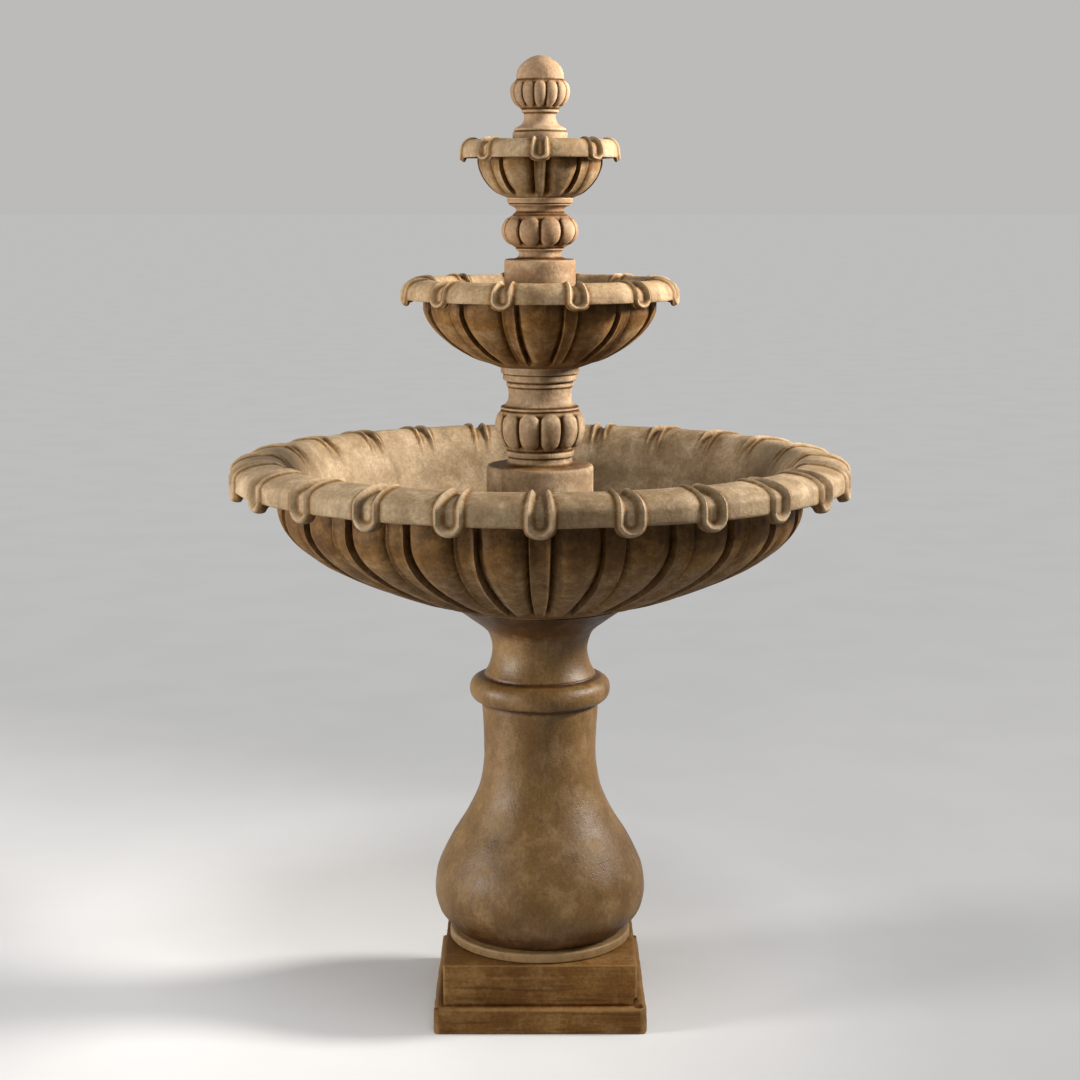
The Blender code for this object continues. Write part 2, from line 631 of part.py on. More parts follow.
def make_pump_housings():
    """The potted motor body, the volute with its outlet boss and the slotted intake cover."""
    half_width = PUMP_WIDTH / 2
    half_height = PUMP_HEIGHT / 2
    low = PUMP_AXIS_Z - half_height
    high = PUMP_AXIS_Z + half_height
    body = box("pump_body", (-half_width, BODY_FRONT, low), (half_width, BODY_BACK, high),
               material("pump_body_plastic", PUMP_BLACK, 0.45), PUMP_EDGE_ROUND,
               square_at=(BODY_FRONT,))
    boolean(body, rod_cutter("rotor_well", WELL_RADIUS, (0, BODY_FRONT - 0.01, PUMP_AXIS_Z),
                             (0, WELL_BACK, PUMP_AXIS_Z)))
    boolean(body, rod_cutter("rear_bushing_seat", BUSHING_RADIUS + PUSH_FIT,
                             (0, WELL_BACK - 0.002, PUMP_AXIS_Z),
                             (0, WELL_BACK + BUSHING_LENGTH + 0.0005, PUMP_AXIS_Z), 16))
    boolean(body, rod_cutter("gland_seat", GLAND_RADIUS - 0.002, (0, BODY_BACK - 0.003, PUMP_AXIS_Z),
                             (0, BODY_BACK + 0.01, PUMP_AXIS_Z), 16))

    volute = box("pump_volute", (-half_width, VOLUTE_FRONT, low), (half_width, VOLUTE_BACK, high),
                 material("pump_volute_plastic", PUMP_BLACK, 0.4), PUMP_EDGE_ROUND,
                 square_at=(VOLUTE_FRONT, VOLUTE_BACK))
    boss = rod_cutter("outlet_boss", OUTLET_BOSS_RADIUS, (0, 0, PUMP_AXIS_Z), (0, 0, BOSS_TOP))
    boolean(volute, boss, "UNION")
    boolean(volute, rod_cutter("impeller_chamber", VOLUTE_CHAMBER_RADIUS,
                               (0, VOLUTE_FRONT + VOLUTE_FRONT_WALL + 0.003, PUMP_AXIS_Z),
                               (0, VOLUTE_BACK + 0.01, PUMP_AXIS_Z)))
    boolean(volute, rod_cutter("outlet_bore", OUTLET_BORE_RADIUS, (0, 0, PUMP_AXIS_Z),
                               (0, 0, BOSS_TOP + 0.01), 16))
    seal_seat = SEAL_SECTION + PUSH_FIT
    groove = turned("seal_groove",
                    [(radius, height) for radius, height in
                     ring_outline(SEAL_RADIUS - seal_seat, SEAL_RADIUS + seal_seat,
                                  -2 * seal_seat, 0.01)],
                    material("groove", PUMP_BLACK, 0.4), even_angles(24))
    boolean(volute, hide_cutter(lay_along_y(groove, VOLUTE_BACK, PUMP_AXIS_Z)))
    for k in range(4):
        angle = math.pi / 4 + k * math.pi / 2
        x = INTAKE_EYE_PITCH * math.cos(angle)
        z = PUMP_AXIS_Z + INTAKE_EYE_PITCH * math.sin(angle)
        boolean(volute, rod_cutter(f"intake_eye_{k + 1}", INTAKE_EYE_RADIUS,
                                   (x, VOLUTE_FRONT - 0.01, z), (x, 0, z), 12))
    boolean(volute, rod_cutter("front_bushing_seat", BUSHING_RADIUS + PUSH_FIT,
                               (0, VOLUTE_FRONT + 0.001, PUMP_AXIS_Z), (0, 0, PUMP_AXIS_Z), 16))

    cover = box("intake_cover", (-half_width, COVER_FRONT, low), (half_width, COVER_BACK, high),
                material("intake_cover_plastic", PUMP_BLACK, 0.4), PUMP_EDGE_ROUND,
                square_at=(COVER_BACK,))
    boolean(cover, box_cutter("cover_hollow",
                              (-half_width + COVER_WALL, COVER_FRONT + COVER_WALL, low + COVER_WALL),
                              (half_width - COVER_WALL, COVER_BACK + 0.01, high - COVER_WALL),
                              PUMP_EDGE_ROUND - COVER_WALL))
    slot_pitch = (PUMP_HEIGHT - 2 * PUMP_EDGE_ROUND) / COVER_SLOT_COUNT
    dial_zone = DIAL_RADIUS + 0.003
    for k in range(COVER_SLOT_COUNT):
        z = PUMP_AXIS_Z + (k - (COVER_SLOT_COUNT - 1) / 2) * slot_pitch
        for side in (-1, 1):
            ends = sorted((side * dial_zone, side * (half_width - PUMP_EDGE_ROUND)))
            boolean(cover, box_cutter(f"cover_slot_{k + 1}_{'left' if side < 0 else 'right'}",
                                      (ends[0], COVER_FRONT - 0.01, z - COVER_SLOT_HEIGHT / 2),
                                      (ends[1], COVER_FRONT + 0.005, z + COVER_SLOT_HEIGHT / 2)))
    boolean(cover, rod_cutter("dial_hole", DIAL_STEM_RADIUS + PUSH_FIT,
                              (0, COVER_FRONT - 0.01, PUMP_AXIS_Z),
                              (0, COVER_FRONT + 0.006, PUMP_AXIS_Z), 16))


def make_pump_rotor():
    """The magnet, its impeller, the ceramic shaft and the rubber bushings that carry it."""
    bore = SHAFT_RADIUS + 0.0003
    magnet = ring_outline(bore, ROTOR_RADIUS, 0.0, ROTOR_BACK - ROTOR_FRONT)
    lay_along_y(turned("rotor_magnet", magnet, material("ferrite", (0.06, 0.06, 0.065), 0.5),
                       even_angles(20)), ROTOR_FRONT, PUMP_AXIS_Z)

    disc_back = ROTOR_FRONT - SEAT_GAP
    disc_front = disc_back - IMPELLER_DISC
    hub = 0.0042
    outline = ring_outline(bore, IMPELLER_RADIUS, 0.0, IMPELLER_DISC)
    impeller = turned("impeller", outline, material("impeller_plastic", (0.70, 0.68, 0.62), 0.4),
                      even_angles(24))
    lay_along_y(impeller, disc_front, PUMP_AXIS_Z)
    blade_front = disc_front - IMPELLER_BLADE_HEIGHT
    hub_ring = turned("impeller_hub", ring_outline(bore, hub, 0.0, IMPELLER_BLADE_HEIGHT + 0.0005),
                      material("hub", PUMP_BLACK, 0.4), even_angles(16))
    boolean(impeller, hide_cutter(lay_along_y(hub_ring, blade_front, PUMP_AXIS_Z)), "UNION")
    for k in range(IMPELLER_BLADES):
        blade = box_cutter(f"impeller_blade_{k + 1}", (hub - 0.001, -IMPELLER_BLADE_HEIGHT, -0.0007),
                           (IMPELLER_RADIUS - 0.0005, 0.0005, 0.0007))
        blade.location = (0, disc_front, PUMP_AXIS_Z)
        blade.rotation_euler = (0, 2 * math.pi * k / IMPELLER_BLADES, 0)
        boolean(impeller, blade, "UNION")

    shaft_front = VOLUTE_FRONT + 0.0016
    shaft_back = WELL_BACK + BUSHING_LENGTH - 0.0005
    shaft = bmesh.new()
    bmesh.ops.create_cone(shaft, cap_ends=True, segments=12, radius1=SHAFT_RADIUS,
                          radius2=SHAFT_RADIUS, depth=shaft_back - shaft_front)
    lay_along_y(from_bmesh("rotor_shaft", shaft, material("ceramic", (0.85, 0.84, 0.80), 0.2)),
                (shaft_front + shaft_back) / 2, PUMP_AXIS_Z)
    rubber = material("bushing_rubber", BLACK_RUBBER, 0.7)
    bushing = ring_outline(bore, BUSHING_RADIUS, 0.0, BUSHING_LENGTH - 0.0005)
    lay_along_y(turned("front_bushing", bushing, rubber, even_angles(12)),
                VOLUTE_FRONT + 0.0013, PUMP_AXIS_Z)
    lay_along_y(turned("rear_bushing", bushing, rubber.copy(), even_angles(12)),
                WELL_BACK + 0.0003, PUMP_AXIS_Z)


def make_pump_fittings():
    """Seal ring, hose nipple, hose clamp, flow dial, suction feet and the cord's gland."""
    section = [(SEAL_RADIUS + SEAL_SECTION * math.cos(a), SEAL_SECTION * math.sin(a))
               for a in even_angles(6, 0.0)]
    lay_along_y(turned("volute_seal", section, material("seal_rubber", BLACK_RUBBER, 0.6),
                       even_angles(24)), VOLUTE_BACK - SEAL_SECTION - PUSH_FIT, PUMP_AXIS_Z)

    barb = TUBE_INNER_RADIUS - PUSH_FIT
    flange_low = BOSS_TOP + SEAT_GAP
    outline = [(OUTLET_BOSS_RADIUS, flange_low), (OUTLET_BOSS_RADIUS, NIPPLE_FLANGE_TOP)]
    barbs = 3
    for k in range(barbs):
        low = NIPPLE_FLANGE_TOP + k * NIPPLE_BARB_HEIGHT / barbs
        outline += [(barb - 0.0008, low), (barb, low + 0.001)]
    barb_top = NIPPLE_FLANGE_TOP + NIPPLE_BARB_HEIGHT
    outline += [(barb - 0.0010, barb_top), (OUTLET_BORE_RADIUS, barb_top),
                (OUTLET_BORE_RADIUS, flange_low)]
    turned("hose_nipple", outline, material("nipple_plastic", (0.10, 0.10, 0.11), 0.4),
           even_angles(16))

    band_in = TUBE_OUTER_RADIUS + PUSH_FIT
    band_out = band_in + CLAMP_BAND
    low = TUBE_BOTTOM + 0.004
    high = low + CLAMP_WIDTH
    clamp = turned("hose_clamp", ring_outline(band_in, band_out, low, high),
                   material("clamp_steel", (0.62, 0.63, 0.65), 0.3, 1.0), even_angles(24))
    screw_y = band_out + CLAMP_SCREW_RADIUS + 0.0010
    screw_z = (low + high) / 2
    housing = box_cutter("clamp_housing", (-0.005, band_out - 0.0007, low + 0.0008),
                         (0.005, screw_y + CLAMP_SCREW_RADIUS + 0.0010, high - 0.0008))
    boolean(clamp, housing, "UNION")
    boolean(clamp, rod_cutter("clamp_bore", CLAMP_SCREW_RADIUS + PUSH_FIT,
                              (-0.02, screw_y, screw_z), (0.02, screw_y, screw_z), 12))
    head = 0.0036
    screw_outline = [(0.0002, -0.0070), (CLAMP_SCREW_RADIUS, -0.0070), (CLAMP_SCREW_RADIUS, 0.0055),
                     (head, 0.0055), (head, 0.0090), (0.0002, 0.0090)]
    screw = turned("clamp_screw", screw_outline, material("screw_steel", (0.60, 0.60, 0.62), 0.3, 1.0),
                   even_angles(12))
    screw.rotation_euler = (0, math.pi / 2, 0)
    screw.location = (0, screw_y, screw_z)

    dial_back = COVER_FRONT - SEAT_GAP
    dial = bmesh.new()
    bmesh.ops.create_cone(dial, cap_ends=True, segments=24, radius1=DIAL_RADIUS,
                          radius2=DIAL_RADIUS, depth=DIAL_THICKNESS)
    dial = from_bmesh("flow_dial", dial, material("dial_plastic", (0.32, 0.33, 0.34), 0.4))
    lay_along_y(dial, dial_back - DIAL_THICKNESS / 2, PUMP_AXIS_Z)
    boolean(dial, rod_cutter("dial_stem", DIAL_STEM_RADIUS, (0, dial_back - 0.001, PUMP_AXIS_Z),
                             (0, COVER_FRONT + COVER_WALL + 0.004, PUMP_AXIS_Z), 12), "UNION")
    rib = box_cutter("dial_rib", (-0.0012, dial_back - DIAL_THICKNESS - 0.0022,
                                  PUMP_AXIS_Z - DIAL_RADIUS + 0.001),
                     (0.0012, dial_back - DIAL_THICKNESS + 0.0005, PUMP_AXIS_Z + DIAL_RADIUS - 0.001))
    boolean(dial, rib, "UNION")

    foot_x = PUMP_WIDTH / 2 - 0.006
    front_y = BODY_FRONT + 0.010
    back_y = BODY_BACK - 0.010
    cup = [(0.0006, 0.0028), (FOOT_RADIUS - 0.0015, 0.0), (FOOT_RADIUS, 0.0006),
           (0.0042, 0.0045), (0.0034, FOOT_HEIGHT - SEAT_GAP), (0.0006, FOOT_HEIGHT - SEAT_GAP)]
    for name, x, y in (("front_left", -foot_x, front_y), ("front_right", foot_x, front_y),
                       ("back_left", -foot_x, back_y), ("back_right", foot_x, back_y)):
        foot = turned("suction_foot_" + name, cup, material("foot_rubber", BLACK_RUBBER, 0.6),
                      even_angles(12))
        foot.location = (x, y, LOWER_FLOOR + SEAT_GAP)

    seat = GLAND_RADIUS - 0.002 - PUSH_FIT
    gland = [(seat, -0.0026), (seat, SEAT_GAP), (GLAND_RADIUS, SEAT_GAP), (GLAND_RADIUS, 0.003),
             (CORD_RADIUS + 0.0012, GLAND_LENGTH), (CORD_RADIUS, GLAND_LENGTH),
             (CORD_RADIUS, -0.0026)]
    lay_along_y(turned("cord_gland", gland, material("gland_rubber", BLACK_RUBBER, 0.6),
                       even_angles(16)), BODY_BACK, PUMP_AXIS_Z)


make_plinth()
make_pedestal()
make_bowl("lower_bowl", LOWER_BOWL_BASE, LOWER_BOWL)
make_lower_baluster()
make_bowl("middle_bowl", MIDDLE_BOWL_BASE, MIDDLE_BOWL)
make_upper_baluster()
make_bowl("top_bowl", TOP_BOWL_BASE, TOP_BOWL)
make_finial()
make_water_line()
make_pump_housings()
make_pump_rotor()
make_pump_fittings()
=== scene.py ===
import math
import bpy
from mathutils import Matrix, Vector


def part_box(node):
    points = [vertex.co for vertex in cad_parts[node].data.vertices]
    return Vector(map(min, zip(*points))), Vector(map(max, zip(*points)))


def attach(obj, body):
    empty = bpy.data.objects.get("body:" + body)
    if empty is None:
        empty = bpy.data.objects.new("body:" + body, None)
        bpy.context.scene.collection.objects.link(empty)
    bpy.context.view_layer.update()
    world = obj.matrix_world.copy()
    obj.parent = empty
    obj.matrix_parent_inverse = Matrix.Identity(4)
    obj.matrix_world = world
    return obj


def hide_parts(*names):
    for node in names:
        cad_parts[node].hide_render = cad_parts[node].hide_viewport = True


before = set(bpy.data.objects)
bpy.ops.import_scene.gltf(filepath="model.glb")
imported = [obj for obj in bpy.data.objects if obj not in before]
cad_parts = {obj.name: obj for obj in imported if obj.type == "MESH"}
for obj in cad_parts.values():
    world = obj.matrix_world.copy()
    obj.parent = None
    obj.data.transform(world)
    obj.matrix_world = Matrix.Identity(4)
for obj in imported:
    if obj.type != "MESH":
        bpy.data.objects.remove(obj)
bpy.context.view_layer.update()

# ---- Plinth ---------------------------------------------------------------------------
# The square base is one casting in the darker, redder mix: a slab with a slightly
# narrower block on it. It is cored through the middle, and a notch at the back lets
# the pump's cord out. It stands loose on the ground.

plinth_low, plinth_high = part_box("plinth")
SLAB_TOP = 0.050
BLOCK_SETBACK = 0.017
SLAB_EDGE_ROUND = 0.012
BLOCK_EDGE_ROUND = 0.0055
PLINTH_CORE_RADIUS = 0.090
CORD_NOTCH_WIDTH = 0.036
CORD_NOTCH_HEIGHT = 0.026
PLINTH_GRID = 0.011
CHIP_RADIUS = 0.012
CHIP_OUT = 0.003
CHIP_UP = 0.006


def clear_selection():
    """Back to object mode with nothing selected."""
    if bpy.context.object and bpy.context.object.mode != "OBJECT":
        bpy.ops.object.mode_set(mode="OBJECT")
    bpy.ops.object.select_all(action="DESELECT")


def pick(piece, kind, wanted):
    """Edit mode, with only the faces, edges or vertices selected that the test wants."""
    bpy.ops.object.mode_set(mode="EDIT")
    bpy.ops.mesh.select_mode(type=kind)
    bpy.ops.mesh.select_all(action="DESELECT")
    bpy.ops.object.mode_set(mode="OBJECT")
    mesh = piece.data
    for part in {"FACE": mesh.polygons, "EDGE": mesh.edges, "VERT": mesh.vertices}[kind]:
        part.select = wanted(part)
    bpy.ops.object.mode_set(mode="EDIT")


def cut_away(piece, cutter):
    """Cut one closed shape out of a piece and throw the cutter away."""
    clear_selection()
    bpy.context.view_layer.objects.active = piece
    piece.select_set(True)
    cut = piece.modifiers.new("cut", "BOOLEAN")
    cut.operation = "DIFFERENCE"
    cut.solver = "EXACT"
    cut.object = cutter
    bpy.ops.object.modifier_apply(modifier=cut.name)
    bpy.data.objects.remove(cutter)


def hand_cast(piece, spread, depth, group=""):
    """The slow unevenness that a stone mould and hand finishing leave in a surface."""
    clear_selection()
    bpy.context.view_layer.objects.active = piece
    piece.select_set(True)
    swell = bpy.data.textures.new(piece.name + "_swell", "CLOUDS")
    swell.noise_scale = spread
    swell.noise_depth = 2
    uneven = piece.modifiers.new("uneven", "DISPLACE")
    uneven.texture = swell
    uneven.texture_coords = "LOCAL"
    uneven.strength = depth
    uneven.mid_level = 0.5
    uneven.vertex_group = group
    bpy.ops.object.modifier_apply(modifier=uneven.name)


def outer_edge(piece, first, second, height, side):
    """Whether an edge lies all at one height on a square of the given side, or rises there."""
    corners = [piece.data.vertices[number].co for number in (first, second)]
    on_side = all(abs(max(abs(c.x), abs(c.y)) - side) < 1e-5 for c in corners)
    if height is None:
        upright = abs(corners[0].z - corners[1].z) > 0.01
        return upright and all(abs(abs(c.x) - side) < 1e-5 and abs(abs(c.y) - side) < 1e-5
                               for c in corners)
    return on_side and all(abs(c.z - height) < 1e-5 for c in corners)


clear_selection()
bpy.ops.mesh.primitive_cube_add(size=1, location=(0, 0, SLAB_TOP / 2),
                                scale=(2 * plinth_high.x, 2 * plinth_high.y, SLAB_TOP))
plinth = bpy.context.object
plinth.name = "plinth_casting"
bpy.ops.object.transform_apply(location=True, rotation=False, scale=True)
pick(plinth, "FACE", lambda face: face.normal.z > 0.9)
bpy.ops.mesh.inset(thickness=BLOCK_SETBACK)
bpy.ops.mesh.extrude_region_move(
    TRANSFORM_OT_translate={"value": (0, 0, plinth_high.z - SLAB_TOP)})
for level, side, rounding in ((None, plinth_high.x, SLAB_EDGE_ROUND),
                              (SLAB_TOP, plinth_high.x, SLAB_EDGE_ROUND * 0.7),
                              (0.0, plinth_high.x, SLAB_EDGE_ROUND * 0.5),
                              (None, plinth_high.x - BLOCK_SETBACK, BLOCK_EDGE_ROUND),
                              (plinth_high.z, plinth_high.x - BLOCK_SETBACK, BLOCK_EDGE_ROUND)):
    bpy.ops.object.mode_set(mode="OBJECT")
    pick(plinth, "EDGE", lambda edge: outer_edge(plinth, *edge.vertices, level, side))
    bpy.ops.mesh.bevel(offset=rounding, segments=3)
for axis, reach in (((1, 0, 0), plinth_high.x), ((0, 1, 0), plinth_high.x),
                    ((0, 0, 1), plinth_high.z)):
    low = -reach if axis[2] == 0 else 0.0
    for number in range(1, int((reach - low) / PLINTH_GRID)):
        place = low + number * PLINTH_GRID
        bpy.ops.mesh.select_all(action="SELECT")
        bpy.ops.mesh.bisect(plane_co=[place * part for part in axis], plane_no=axis)
bpy.ops.object.mode_set(mode="OBJECT")
loose_sides = plinth.vertex_groups.new(name="sides")
for corner in plinth.data.vertices:
    if 0.002 < corner.co.z < plinth_high.z - 0.001:
        loose_sides.add([corner.index], 1.0, "REPLACE")
hand_cast(plinth, 0.07, 0.0036, "sides")
hand_cast(plinth, 0.018, 0.0014, "sides")
bpy.ops.mesh.primitive_cylinder_add(vertices=96, radius=PLINTH_CORE_RADIUS, depth=1)
cut_away(plinth, bpy.context.object)
bpy.ops.mesh.primitive_cube_add(size=1, location=(0, plinth_high.y, 0),
                                scale=(CORD_NOTCH_WIDTH, 2 * plinth_high.y, 2 * CORD_NOTCH_HEIGHT))
cut_away(plinth, bpy.context.object)
bpy.ops.mesh.primitive_ico_sphere_add(
    subdivisions=3, radius=CHIP_RADIUS,
    location=(plinth_high.x - BLOCK_SETBACK + CHIP_OUT,
              plinth_low.y + BLOCK_SETBACK - CHIP_OUT, SLAB_TOP + CHIP_UP))
cut_away(plinth, bpy.context.object)
bpy.context.view_layer.objects.active = plinth
plinth.select_set(True)
bpy.ops.object.shade_smooth_by_angle(angle=math.radians(38))


class Finish:
    """A node material under construction; each call adds one node and returns its output."""

    def __init__(self, name):
        self.material = bpy.data.materials.new(name)
        self.material.use_nodes = True
        self.nodes = self.material.node_tree.nodes
        self.links = self.material.node_tree.links
        self.shader = self.nodes["Principled BSDF"]
        self.place = self.nodes.new("ShaderNodeTexCoord").outputs["Object"]

    def feed(self, socket, value):
        """Link an output to an input socket, or set the socket to a fixed value."""
        if isinstance(value, bpy.types.NodeSocket):
            self.links.new(value, socket)
        else:
            socket.default_value = value

    def stretched(self, x, y, z):
        node = self.nodes.new("ShaderNodeMapping")
        node.inputs["Scale"].default_value = (x, y, z)
        self.links.new(self.place, node.inputs["Vector"])
        return node.outputs["Vector"]

    def noise(self, scale, detail=3.0, roughness=0.5, place=None, warp=0.0):
        node = self.nodes.new("ShaderNodeTexNoise")
        node.inputs["Scale"].default_value = scale
        node.inputs["Detail"].default_value = detail
        node.inputs["Roughness"].default_value = roughness
        node.inputs["Distortion"].default_value = warp
        self.links.new(place or self.place, node.inputs["Vector"])
        return node.outputs["Fac"]

    def pits(self, scale):
        node = self.nodes.new("ShaderNodeTexVoronoi")
        node.inputs["Scale"].default_value = scale
        self.links.new(self.place, node.inputs["Vector"])
        return node.outputs["Distance"]

    def span(self, value, low, high, to_low=0.0, to_high=1.0):
        node = self.nodes.new("ShaderNodeMapRange")
        node.interpolation_type = "SMOOTHSTEP"
        self.feed(node.inputs["Value"], value)
        for socket, number in (("From Min", low), ("From Max", high),
                               ("To Min", to_low), ("To Max", to_high)):
            node.inputs[socket].default_value = number
        return node.outputs["Result"]

    def sums(self, kind, first, second):
        node = self.nodes.new("ShaderNodeMath")
        node.operation = kind
        node.use_clamp = True
        self.feed(node.inputs[0], first)
        self.feed(node.inputs[1], second)
        return node.outputs["Value"]

    def mix(self, share, first, second, kind="MIX"):
        node = self.nodes.new("ShaderNodeMix")
        node.data_type = "RGBA"
        node.blend_type = kind
        self.feed(node.inputs[0], share)
        self.feed(node.inputs[6], first)
        self.feed(node.inputs[7], second)
        return node.outputs[2]

    def bump(self, height, depth, strength, under=None):
        node = self.nodes.new("ShaderNodeBump")
        node.inputs["Distance"].default_value = depth
        node.inputs["Strength"].default_value = strength
        self.links.new(height, node.inputs["Height"])
        if under:
            self.links.new(under, node.inputs["Normal"])
        return node.outputs["Normal"]

    def attribute(self, name):
        node = self.nodes.new("ShaderNodeAttribute")
        node.attribute_name = name
        return node.outputs["Fac"]

    def pointiness_span(self, low, high):
        node = self.nodes.new("ShaderNodeNewGeometry")
        return self.span(node.outputs["Pointiness"], low, high)


# The thin brown glaze darkens what is under it, as painted shade; the wash covers it, deep in the
# hollows, partly as patina and partly as painted shade.
WASH_AND_SHADE_BROWN = (0.026, 0.010, 0.002, 1)
SHADE_GLAZE = (0.50, 0.350, 0.165, 1)


def cast_stone(name, tan, brown, pale, streak=0.0, gloss=0.0, wear_and_highlight=0.55, mottle=0.45):
    """Hand-stained cast stone: mottled tan over brown, dark wash in the hollows (partly patina,
    partly painted shade), painted shade and shadow from the piece's attribute, and pale edges
    (partly wear, partly painted highlight).
    """
    stone = Finish(name)
    cloudy = stone.span(stone.noise(5.0, 6, 0.62), 0.30, 0.70)
    blotch = stone.span(stone.noise(19, 8, 0.66), 0.44, 0.68)
    speck = stone.noise(150, 6, 0.75)
    colour = stone.mix(cloudy, brown, tan)
    colour = stone.mix(stone.sums("MULTIPLY", blotch, mottle), colour, pale)
    if streak:
        brushed = stone.noise(9, 5, 0.62, stone.stretched(0.5, 0.5, 9.0))
        dark = stone.span(brushed, 0.50, 0.66, 0.0, streak)
        colour = stone.mix(dark, colour, WASH_AND_SHADE_BROWN)
        light = stone.span(brushed, 0.44, 0.30, 0.0, streak * 0.7)
        colour = stone.mix(light, colour, pale)
    else:
        run = stone.noise(26, 5, 0.6, stone.stretched(1.0, 1.0, 0.22))
        colour = stone.mix(stone.span(run, 0.50, 0.74, 0.0, 0.38), colour, WASH_AND_SHADE_BROWN)
    grain = stone.span(speck, 0.28, 0.72, 0.74, 1.18)
    colour = stone.mix(1.0, colour, grain, "MULTIPLY")
    # Pale convex edges: partly wear, partly a painted highlight where the edges catch the light.
    colour = stone.mix(stone.sums("MULTIPLY", stone.pointiness_span(0.505, 0.56), wear_and_highlight), colour, pale)
    ragged = stone.span(stone.noise(48, 6, 0.68), 0.28, 0.68, 0.62, 1.18)
    # The piece's attribute: a wash and painted shade and shadow where positive, a painted
    # highlight where negative.
    wash_and_painted_light_share = stone.attribute("wash_and_painted_light")
    # A painted highlight where the attribute is negative, on the pedestal's foot ring.
    painted_highlight = stone.sums("MULTIPLY", stone.sums("MULTIPLY", wash_and_painted_light_share, -1.0), ragged)
    colour = stone.mix(painted_highlight, colour, pale)
    hollow = stone.sums("MULTIPLY", wash_and_painted_light_share, ragged)
    # Concave places darken, partly patina and partly painted shade.
    cavity = stone.sums("MULTIPLY", stone.pointiness_span(0.492, 0.44), 0.55)
    # Painted shade: the darker the place, the more the glaze and then the wash brown darken it; in
    # creases it is partly patina.
    shade_and_wash = stone.sums("MAXIMUM", hollow, cavity)
    colour = stone.mix(stone.span(shade_and_wash, 0.0, 0.50), colour,
                       stone.mix(1.0, colour, SHADE_GLAZE, "MULTIPLY"))
    colour = stone.mix(stone.span(shade_and_wash, 0.40, 1.0, 0.0, 0.95), colour, WASH_AND_SHADE_BROWN)
    stone.feed(stone.shader.inputs["Base Color"], colour)
    matt = stone.span(blotch, 0.0, 1.0, 0.62 - gloss, 0.80 - gloss)
    stone.feed(stone.shader.inputs["Roughness"], matt)
    stone.shader.inputs["Specular IOR Level"].default_value = 0.12 + 1.1 * gloss
    relief = stone.bump(stone.noise(34, 5, 0.6), 0.004, 0.28)
    if streak:
        relief = stone.bump(stone.noise(14, 5, 0.62, stone.stretched(0.5, 0.5, 9.0)),
                            0.003, 0.5, relief)
    relief = stone.bump(stone.noise(210, 4, 0.65), 0.0010, 0.42, relief)
    relief = stone.bump(stone.span(stone.pits(130), 0.05, 0.30), 0.0009, 0.35, relief)
    stone.feed(stone.shader.inputs["Normal"], relief)
    return stone.material


def set_finish(piece, finish):
    """One material over the whole of a piece."""
    piece.data.materials.clear()
    piece.data.materials.append(finish)


set_finish(plinth, cast_stone("plinth_dark_cast_stone", (0.150, 0.068, 0.015, 1),
                              (0.088, 0.037, 0.007, 1), (0.270, 0.160, 0.064, 1), streak=0.50,
                              wear_and_highlight=0.5, mottle=0.40))
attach(plinth, "base")
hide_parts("plinth")

# ---- Pedestal -------------------------------------------------------------------------
# The bulbous column that carries the large bowl, cast hollow in one piece: foot ring,
# bulb, waist, torus collar and the flared head. It is bedded on the plinth, and the
# pump's cord hangs down through it. Its stain was rubbed to a slight sheen.

FRONT = -math.pi / 2
PEDESTAL_BORE = 0.045
PEDESTAL_WALL = 0.040


def flow(points, spacing):
    """A smooth curve through a few points, as rows about one spacing apart."""
    rows = []
    ends = [points[0], *points, points[-1]]
    for a, b, c, d in zip(ends, ends[1:], ends[2:], ends[3:]):
        steps = max(1, math.ceil(math.dist(b, c) / spacing))
        for number in range(steps):
            t = number / steps
            rows.append(tuple(
                0.5 * (2 * b[k] + (c[k] - a[k]) * t
                       + (2 * a[k] - 5 * b[k] + 4 * c[k] - d[k]) * t * t
                       + (3 * b[k] - a[k] - 3 * c[k] + d[k]) * t * t * t) for k in (0, 1)))
    return rows + [points[-1]]


def straight(points, spacing):
    """Straight runs between points, as rows about one spacing apart."""
    rows = []
    for start, end in zip(points, points[1:]):
        steps = max(1, math.ceil(math.dist(start, end) / spacing))
        rows += [tuple(start[k] + (end[k] - start[k]) * n / steps for k in (0, 1))
                 for n in range(steps)]
    return rows + [points[-1]]


def as_section(bed_height, **stretches):
    """Named stretches of (radius, height) points as rows of (stretch, share, radius, z)."""
    section = []
    for name, points in stretches.items():
        for number, (radius, height) in enumerate(points):
            if section and math.dist(section[-1][2:], (radius, height + bed_height)) < 1e-5:
                continue
            share = number / max(1, len(points) - 1)
            section.append((name, share, radius, height + bed_height))
    return section


def smooth(low, high, value):
    """0 below the low value, 1 above the high one, and a soft step between."""
    share = min(max((value - low) / (high - low), 0.0), 1.0)
    return share * share * (3 - 2 * share)


